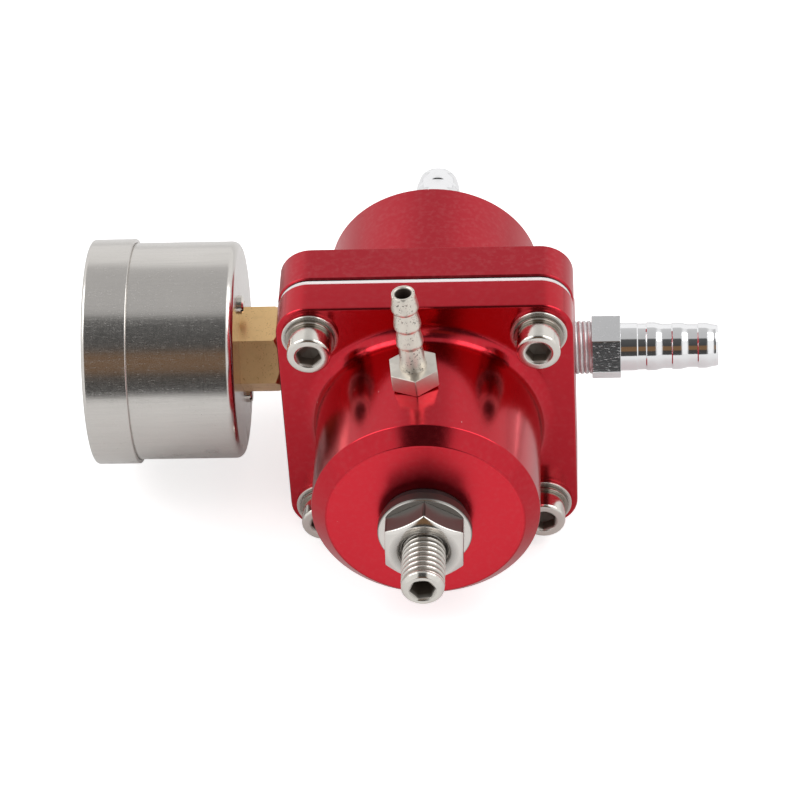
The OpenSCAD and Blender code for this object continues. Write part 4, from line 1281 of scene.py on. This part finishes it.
@dataclass
class HoseBarb:
    """A turned hose fitting with a taper pipe thread, hexagon and three barbs."""

    name: str
    node: str
    place: Matrix
    pipe: float = 10.2
    pitch: float = 0.907
    taper: float = 1 / 32
    thread_deep: float = 0.34
    # The whole thread takes at least this share of painted shade, so it is duller and more matte.
    thread_dull: float = 0.6
    engage: float = 7.0
    stand: float = 3.2
    hex_across: float = 11.1
    hex_long: float = 5.5
    hex_turn: float = 10.0
    neck: float = 9.2
    neck_long: float = 3.3
    lead: float = 1.6
    barb: float = 9.3
    step: float = 0.3
    depth: float = 0.2
    land: float = 1.7
    slope: float = 1.7
    flare: float = 0.3
    soft: int = 8
    spacing: float = 4.9
    barbs: int = 3
    bore: float = 6.0

    def hexagon_skin(self) -> RingStack:
        """Makes the plain hexagon."""
        side, low, inside = hexagon(self.hex_across), self.stand, self.bore / 2 + 0.5
        top = low + self.hex_long
        return RingStack(144).ring(inside, low).ring(side, low).ring(side, top).ring(inside, top).close()

    def outline(self) -> RingStack:
        """Makes the neck and barbs with the bore through them."""
        hole, thin, neck = self.bore / 2, self.barb / 2 - self.depth, self.neck / 2
        shoulder, neck_top = self.stand + 0.3, self.stand + self.hex_long + self.neck_long
        stack = RingStack(144).ring(hole, -self.engage).ring(self.pipe / 2 - 0.9, -self.engage)
        stack.rings((self.pipe / 2 - 0.6, shoulder), (neck, shoulder), (neck, neck_top - self.depth))
        stack.ring(thin, neck_top)
        last = neck_top
        for i in range(self.barbs):
            out, low = (self.barb - i * self.step) / 2, neck_top + self.lead + i * self.spacing
            crest, last = low + self.land - self.flare, low + self.land + self.slope
            stack.rings((out - self.depth, low - 0.1), (out, low + 0.12))
            for k in range(self.soft + 1):
                t = k / self.soft
                drop = (self.depth + self.step / 2) * t * t * (3 - 2 * t)
                stack.ring(out - drop, crest + t * (last - crest))
        end = last + 0.5
        rim = self.barb / 2 - self.step - self.depth - self.step / 2 - 0.15
        # The bore takes painted shade, deeper inside.
        stack.rings((rim, end), (hole + 0.25, end)).rings((hole, end - 0.25), tone=0.3)
        return stack.rings((hole, end - 4), tone=0.8).close()

    def build(self) -> None:
        """Makes the fitting in two pieces."""
        thread = Thread(
            self.pipe, self.pitch, start=-self.engage, end=self.stand + 0.2,
            taper=self.taper, deep=self.thread_deep, dull=self.thread_dull,
        )
        piece = Piece(self.name).add(self.outline(), self.place).add(thread.build(), self.place)
        piece.finish(TURNED_ALUMINIUM, Slot.ALUMINIUM, Body.HOUSING, self.node, crease=7.0)
        flats = self.hexagon_skin().soften(0.12)
        Piece(self.name + "_hex").add(flats, self.place @ turned(0, 0, self.hex_turn)).finish(
            MILLED_ALUMINIUM, Slot.ALUMINIUM, Body.HOUSING
        )


@dataclass
class Gauge:
    """The pressure gauge's case, bezel and printed dial."""

    stand: float = 1.5
    hex_long: float = 7.5
    case: float = 41.8
    wall: float = 0.7
    deep: float = 28.6
    roll: float = 1.6
    neck: float = 10.0
    bezel: float = 43.4
    bezel_wall: float = 0.75
    bezel_long: float = 8.5
    bezel_roll: float = 0.75
    fit: float = 0.05
    lip: float = 1.4
    glass: float = 2.0
    gasket: float = 0.5
    dial_face: float = 30.22
    sweep: float = 270.0
    first: float = 225.0
    full: int = 100
    ink: float = 0.05
    scale: float = 18.0
    long_mark: tuple[float, float] = (2.6, 0.42)
    short_mark: tuple[float, float] = (1.4, 0.2)
    numerals: float = 12.6
    numeral_size: float = 3.3
    numeral_step: int = 20

    def case_skin(self) -> RingStack:
        """Makes the drawn case with its rolled back edge."""
        back, front = self.stand + self.hex_long, self.stand + self.hex_long + self.deep
        rim = front - self.bezel_wall - 0.03 - self.glass - self.gasket
        out, hole = self.case / 2, self.neck / 2 + self.fit
        skin = RingStack(192).rings((hole, back), (out - self.roll - 0.6, back))
        skin.arc((out - self.roll, back + self.roll), self.roll, 270, 360, 8)
        skin.rings((out, rim), (out - self.wall, rim), (out - self.wall, back + self.roll))
        return skin.rings((out - self.roll, back + self.wall), (hole, back + self.wall)).close()

    def bezel_skin(self) -> RingStack:
        """Makes the bezel ring with its rolled front lip."""
        front = self.stand + self.hex_long + self.deep
        low, out, inside = front - self.bezel_long, self.bezel / 2, self.case / 2 + self.fit
        lip, curve = self.case / 2 - self.wall - self.lip, self.bezel_roll
        skin = RingStack(192).rings((inside, low), (out - 0.12, low), (out, low + 0.12))
        skin.arc((out - curve, front - curve), curve, 0, 90, 6)
        skin.rings((lip + 0.2, front), (lip, front - 0.2), (lip, front - self.bezel_wall))
        return skin.rings((inside, front - self.bezel_wall)).close()

    def ticks(self) -> bmesh.types.BMesh:
        """Makes the dial's scale lines, a long one at every tenth part."""
        bm = toned_mesh()
        parts = self.full // 2
        for part in range(parts + 1):
            size = Vector((*(self.short_mark if part % 5 else self.long_mark), self.ink))
            spot = Vector((self.scale - size.x / 2, 0, self.dial_face + self.ink / 2))
            turn = Matrix.Rotation(math.radians(self.first - self.sweep * part / parts), 3, "Z")
            made = bmesh.ops.create_cube(bm, size=1.0)["verts"]
            bmesh.ops.scale(bm, vec=size * MM, verts=made)
            bmesh.ops.translate(bm, vec=spot * MM, verts=made)
            bmesh.ops.rotate(bm, matrix=turn, verts=made)
        return bm

    def numeral(self, value: int) -> bmesh.types.BMesh:
        """Makes one numeral as a flat mesh at its place on the dial.

        Args:
            value: The number to write.

        Returns:
            A new mesh in the gauge's frame.
        """
        text = bpy.data.curves.new("numeral", "FONT")
        text.body, text.size = str(value), self.numeral_size * MM
        text.align_x, text.align_y, text.extrude = "CENTER", "CENTER", 0.02 * MM
        holder = linked("numeral", text)
        depsgraph = bpy.context.evaluated_depsgraph_get()
        mesh = bpy.data.meshes.new_from_object(holder.evaluated_get(depsgraph))
        bm = bmesh.new()
        bm.from_mesh(mesh)
        bm.verts.layers.float.new(TONE)
        bpy.data.meshes.remove(mesh)
        bpy.data.objects.remove(holder)
        angle = math.radians(self.first - self.sweep * value / self.full)
        out, up = self.numerals, self.dial_face + 0.03
        spot = Vector((out * math.cos(angle), out * math.sin(angle), up))
        bmesh.ops.translate(bm, vec=spot * MM, verts=bm.verts)
        return bm

    def build(self) -> None:
        """Makes the case, bezel and dial print."""
        place = LAYOUT.gauge()
        Piece("case_shell").add(self.case_skin().soften(0.1, 40), place).finish(
            STAINLESS, Slot.STAINLESS, Body.HOUSING, "gauge_case"
        )
        Piece("bezel_ring").add(self.bezel_skin().soften(0.08, 40), place).finish(
            STAINLESS, Slot.STAINLESS, Body.HOUSING, "gauge_bezel"
        )
        marks = Piece("dial_scale").add(self.ticks(), place)
        for value in range(0, self.full + 1, self.numeral_step):
            marks.add(self.numeral(value), place)
        marks.finish(INK, Slot.POINTER, Body.HOUSING)


@dataclass
class GivingPieces:
    """Inner pieces whose ends move apart: main spring, diaphragm and Bourdon tube.

    Attributes:
        share: Share of the spring's length, from the plate, that follows the valve.
        seat: Length at each end of the spring that moves with what it rests on, in millimetres.
        clamp: Flat faces of the diaphragm inside this radius belong to its middle.
        edge_bore: Inner radius of the diaphragm's edge piece.
        middle: Outer radius of its middle piece.
        hole: Radius of its stud hole.
    """

    share: float = 0.25
    seat: float = 1.0
    clamp: float = 13.4
    edge_bore: float = 12.0
    middle: float = 11.9
    hole: float = 2.6

    def spring(self, node: bpy.types.Object) -> None:
        """Cuts the main spring in two, one piece for each end that moves."""
        low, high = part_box("main_spring")
        axis = (low + high) / 2
        cut = Vector((axis.x, high.y - self.share * (high.y - low.y), axis.z))
        seat = self.seat * MM
        for name, body, end, away, stands_for in (
            ("main_spring_plate_end", Body.VALVE, high.y - seat, -1, ("main_spring",)),
            ("main_spring_button_end", Body.BUTTON, low.y + seat, 1, ()),
        ):
            bm = merged(node)
            cut_off(bm, cut, (0, away, 0))
            bmesh.ops.holes_fill(bm, edges=open_edges(bm))
            obj = Piece(name).add(bm, STILL).finish(SPRING, Slot.SPRING, None, *stands_for)
            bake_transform(obj, Body.HOUSING.value, body.value, cut, Vector((axis.x, end, axis.z)))

    def edge(self, node: bpy.types.Object) -> bmesh.types.BMesh:
        """Gives the diaphragm's edge and convolution in the body's frame."""
        bm = merged(node)
        bmesh.ops.transform(bm, matrix=LAYOUT.body().inverted(), verts=bm.verts)
        bm.normal_update()
        inside = [
            f for f in bm.faces
            if max(v.co.xy.length for v in f.verts) < self.clamp * MM
            and (abs(f.normal.z) > 0.99 or f.calc_center_median().xy.length < self.middle * MM)
        ]
        bmesh.ops.delete(bm, geom=inside, context="FACES")
        made = bmesh.ops.extrude_edge_only(bm, edges=open_edges(bm))["geom"]
        for vert in points_of(made):
            vert.co.xy *= self.edge_bore * MM / vert.co.xy.length
        bmesh.ops.bridge_loops(bm, edges=open_edges(bm))
        return bm

    def diaphragm(self, node: bpy.types.Object) -> None:
        """Splits the diaphragm at the plates' rim, since its middle lifts with the valve."""
        place, thick = LAYOUT.body(), LAYOUT.joint
        middle = RingStack(144).rings((self.hole, 0), (self.middle, 0), (self.middle, thick))
        middle.ring(self.hole, thick).close()
        Piece("diaphragm_edge").add(self.edge(node), place).finish(
            FABRIC, Slot.RUBBER, Body.HOUSING, "diaphragm"
        )
        Piece("diaphragm_middle").add(middle, place).finish(FABRIC, Slot.RUBBER, Body.VALVE)

    def tube(self, node: bpy.types.Object) -> None:
        """Lets the Bourdon tube's free end follow its tip."""
        low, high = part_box("bourdon_tube")
        tip_low, tip_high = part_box("tube_tip")
        coil = Piece("bourdon_coil").add(merged(node), STILL)
        obj = coil.finish(CLOCK_BRASS, Slot.BRASS, None, "bourdon_tube")
        centre, tip = (low + high) / 2, (tip_low + tip_high) / 2
        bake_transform(obj, Body.HOUSING.value, Body.TUBE_END.value, centre, tip)

    def build(self, nodes: dict[str, bpy.types.Object]) -> None:
        """Makes the pieces.

        Args:
            nodes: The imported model's objects by node name.
        """
        self.spring(nodes["main_spring"])
        self.diaphragm(nodes["diaphragm"])
        self.tube(nodes["bourdon_tube"])


@dataclass
class CadPieces:
    """CAD nodes whose shape is kept, with their finishes."""

    finishes: tuple[tuple[Finish, tuple[str, ...]], ...] = (
        (RUBBER, ("lens_gasket",)),
        (PLATED, ("spring_plate", "backing_plate", "stud_nut", "spring_button")),
        (NICKEL, ("case_screws",)),
        (STEEL_PART, ("valve_stud", "valve_ball", "stop_pin")),
        (CLOCK_BRASS, ("return_seat", "pointer_pinion", "sector_gear", "tip_link", "tube_tip",
                       "movement_back_plate", "movement_front_plate", "hairspring", "dial_screws")),
        (LENS, ("gauge_lens",)),
        (DIAL, ("gauge_dial",)),
        (POINTER, ("gauge_pointer",)),
    )

    def dress(self, nodes: dict[str, bpy.types.Object]) -> None:
        """Gives each kept node its finish.

        Args:
            nodes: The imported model's objects by node name.
        """
        for finish, names in self.finishes:
            for name in names:
                slots = nodes[name].data.materials
                slots.clear()
                slots.append(finish.material())
                LOG.info("%s: kept, %s", name, finish.name)


# Studio


@dataclass
class Studio:
    """Pale floor, soft lights, surroundings and the camera."""

    reach: float = 2.5
    near: float = -0.27
    paper: float = 0.82
    glow: float = 0.62
    sheen: float = 0.06
    ambient: float = 0.6
    aim: tuple[float, float, float] = (0.0, 0.0, 0.03)
    box: tuple[float, float] = (0.8, 0.7)
    power: float = 3.6
    eye: tuple[float, float, float] = (0.034366, -0.534559, 0.491719)
    right: tuple[float, float, float] = (0.99829, 0.03148, -0.04919)
    up: tuple[float, float, float] = (0.01603, 0.66217, 0.74918)
    ahead: tuple[float, float, float] = (-0.05615, 0.74869, -0.66053)
    lens: float = 165.93
    sensor: float = 36.0

    def camera(self) -> None:
        """Sets the camera where the photograph was taken."""
        data = bpy.data.cameras.new("camera")
        data.lens, data.sensor_width, data.sensor_height = self.lens, self.sensor, self.sensor
        data.clip_start = 0.01
        obj = linked("camera", data)
        columns = (Vector(self.right), Vector(self.up), -Vector(self.ahead))
        turn = Matrix(columns).transposed().to_4x4()
        obj.matrix_world = Matrix.Translation(Vector(self.eye)) @ turn
        bpy.context.scene.camera = obj

    def lamp(self, name: str, place: Sequence[float]) -> None:
        """Adds a soft box aimed at the object.

        Args:
            name: The lamp's name.
            place: Where it stands, in metres.
        """
        data = bpy.data.lights.new(name, "AREA")
        data.shape, data.energy = "RECTANGLE", self.power
        data.size, data.size_y = self.box
        spot = Vector(place)
        turn = (Vector(self.aim) - spot).to_track_quat("-Z", "Y")
        linked(name, data).matrix_world = Matrix.Translation(spot) @ turn.to_matrix().to_4x4()

    def sheet(self, graph: Graph) -> Wire:
        """Builds the floor's shader, white to the camera with a faint shadow."""
        glow = self.glow * graph.ray("Camera") + self.sheen * graph.ray("Glossy")
        paper = graph.node("ShaderNodeBsdfDiffuse", None, {"Color": rgba((self.paper,) * 3)})
        light = graph.node("ShaderNodeEmission", None, {"Strength": glow})
        return graph.node("ShaderNodeAddShader", None, {0: paper, 1: light})

    def floor(self) -> None:
        """Lays a pale sheet that ends near the camera."""
        bm = bmesh.new()
        bmesh.ops.create_grid(bm, x_segments=1, y_segments=1, size=self.reach)
        for vert in bm.verts:
            vert.co.y = max(vert.co.y, self.near)
        mesh = as_mesh(bm, "floor")
        mesh.materials.append(material_of("studio_floor", self.sheet))
        linked("floor", mesh)

    def world(self) -> None:
        """Sets even ambient light, and for metal to mirror a white tent that is open in front."""
        world = bpy.data.worlds.new("studio")
        bpy.context.scene.world = world
        world.use_nodes = True
        graph = Graph(world.node_tree)
        way = graph.node("ShaderNodeTexCoord", out="Generated")
        height, depth, aside = (graph.axis(name, way) for name in "ZYX")
        white, dark, brown = (1.0,) * 3, (0.06,) * 3, (0.2, 0.115, 0.06)
        opening = (
            (0.0, dark), (0.27, (0.06, 0.055, 0.05)), (0.33, brown),
            (0.6, brown), (0.66, dark), (0.96, (0.09,) * 3),
        )
        tent = ((0.0, white), (0.58, white), (0.66, (0.62,) * 3), (1.0, (0.55,) * 3))
        front, back = (
            graph.node("ShaderNodeValToRGB", {"stops": stops}, {0: height}) for stops in (opening, tent)
        )
        middle = graph.mix(depth.step(-0.28, -0.18), front, back)
        mirrored = graph.mix((aside * aside).step(0.06, 0.16), middle, white)
        room = graph.mix(graph.ray("Glossy"), (self.ambient,) * 3, mirrored)
        colour = graph.mix(graph.ray("Camera"), room, white)
        sky = graph.node("ShaderNodeBackground", None, {"Color": colour, "Strength": 1.0})
        graph.node("ShaderNodeOutputWorld", None, {"Surface": sky})

    def build(self) -> None:
        """Sets up the whole studio."""
        bpy.context.scene.view_settings.view_transform = "Standard"
        self.camera()
        self.floor()
        self.world()
        self.lamp("left_box", (-0.7, 0.04, 0.76))
        self.lamp("right_box", (0.7, 0.06, 0.76))


def main() -> None:
    """Builds every piece in order."""
    logging.basicConfig(level=logging.INFO, format="%(name)s: %(message)s")
    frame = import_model()
    nodes = frame["nodes"]
    Studio().build()
    SpringCap().build()
    SoftCopy("base_shell", "base_body", RED_REAR_SHADED, Slot.RED, 0.4).build(nodes)
    SoftCopy("gauge_stem", "gauge_socket", BRASS, Slot.BRASS, 0.2).build(nodes)
    CapScrews().build()
    Adjuster().build()
    VacuumNipple().build()
    HoseBarb("inlet_fitting", "inlet_barb", LAYOUT.inlet()).build()
    HoseBarb("return_fitting", "return_barb", LAYOUT.outlet()).build()
    Gauge().build()
    GivingPieces().build(nodes)
    CadPieces().dress(nodes)


if __name__ == "__main__":
    main()
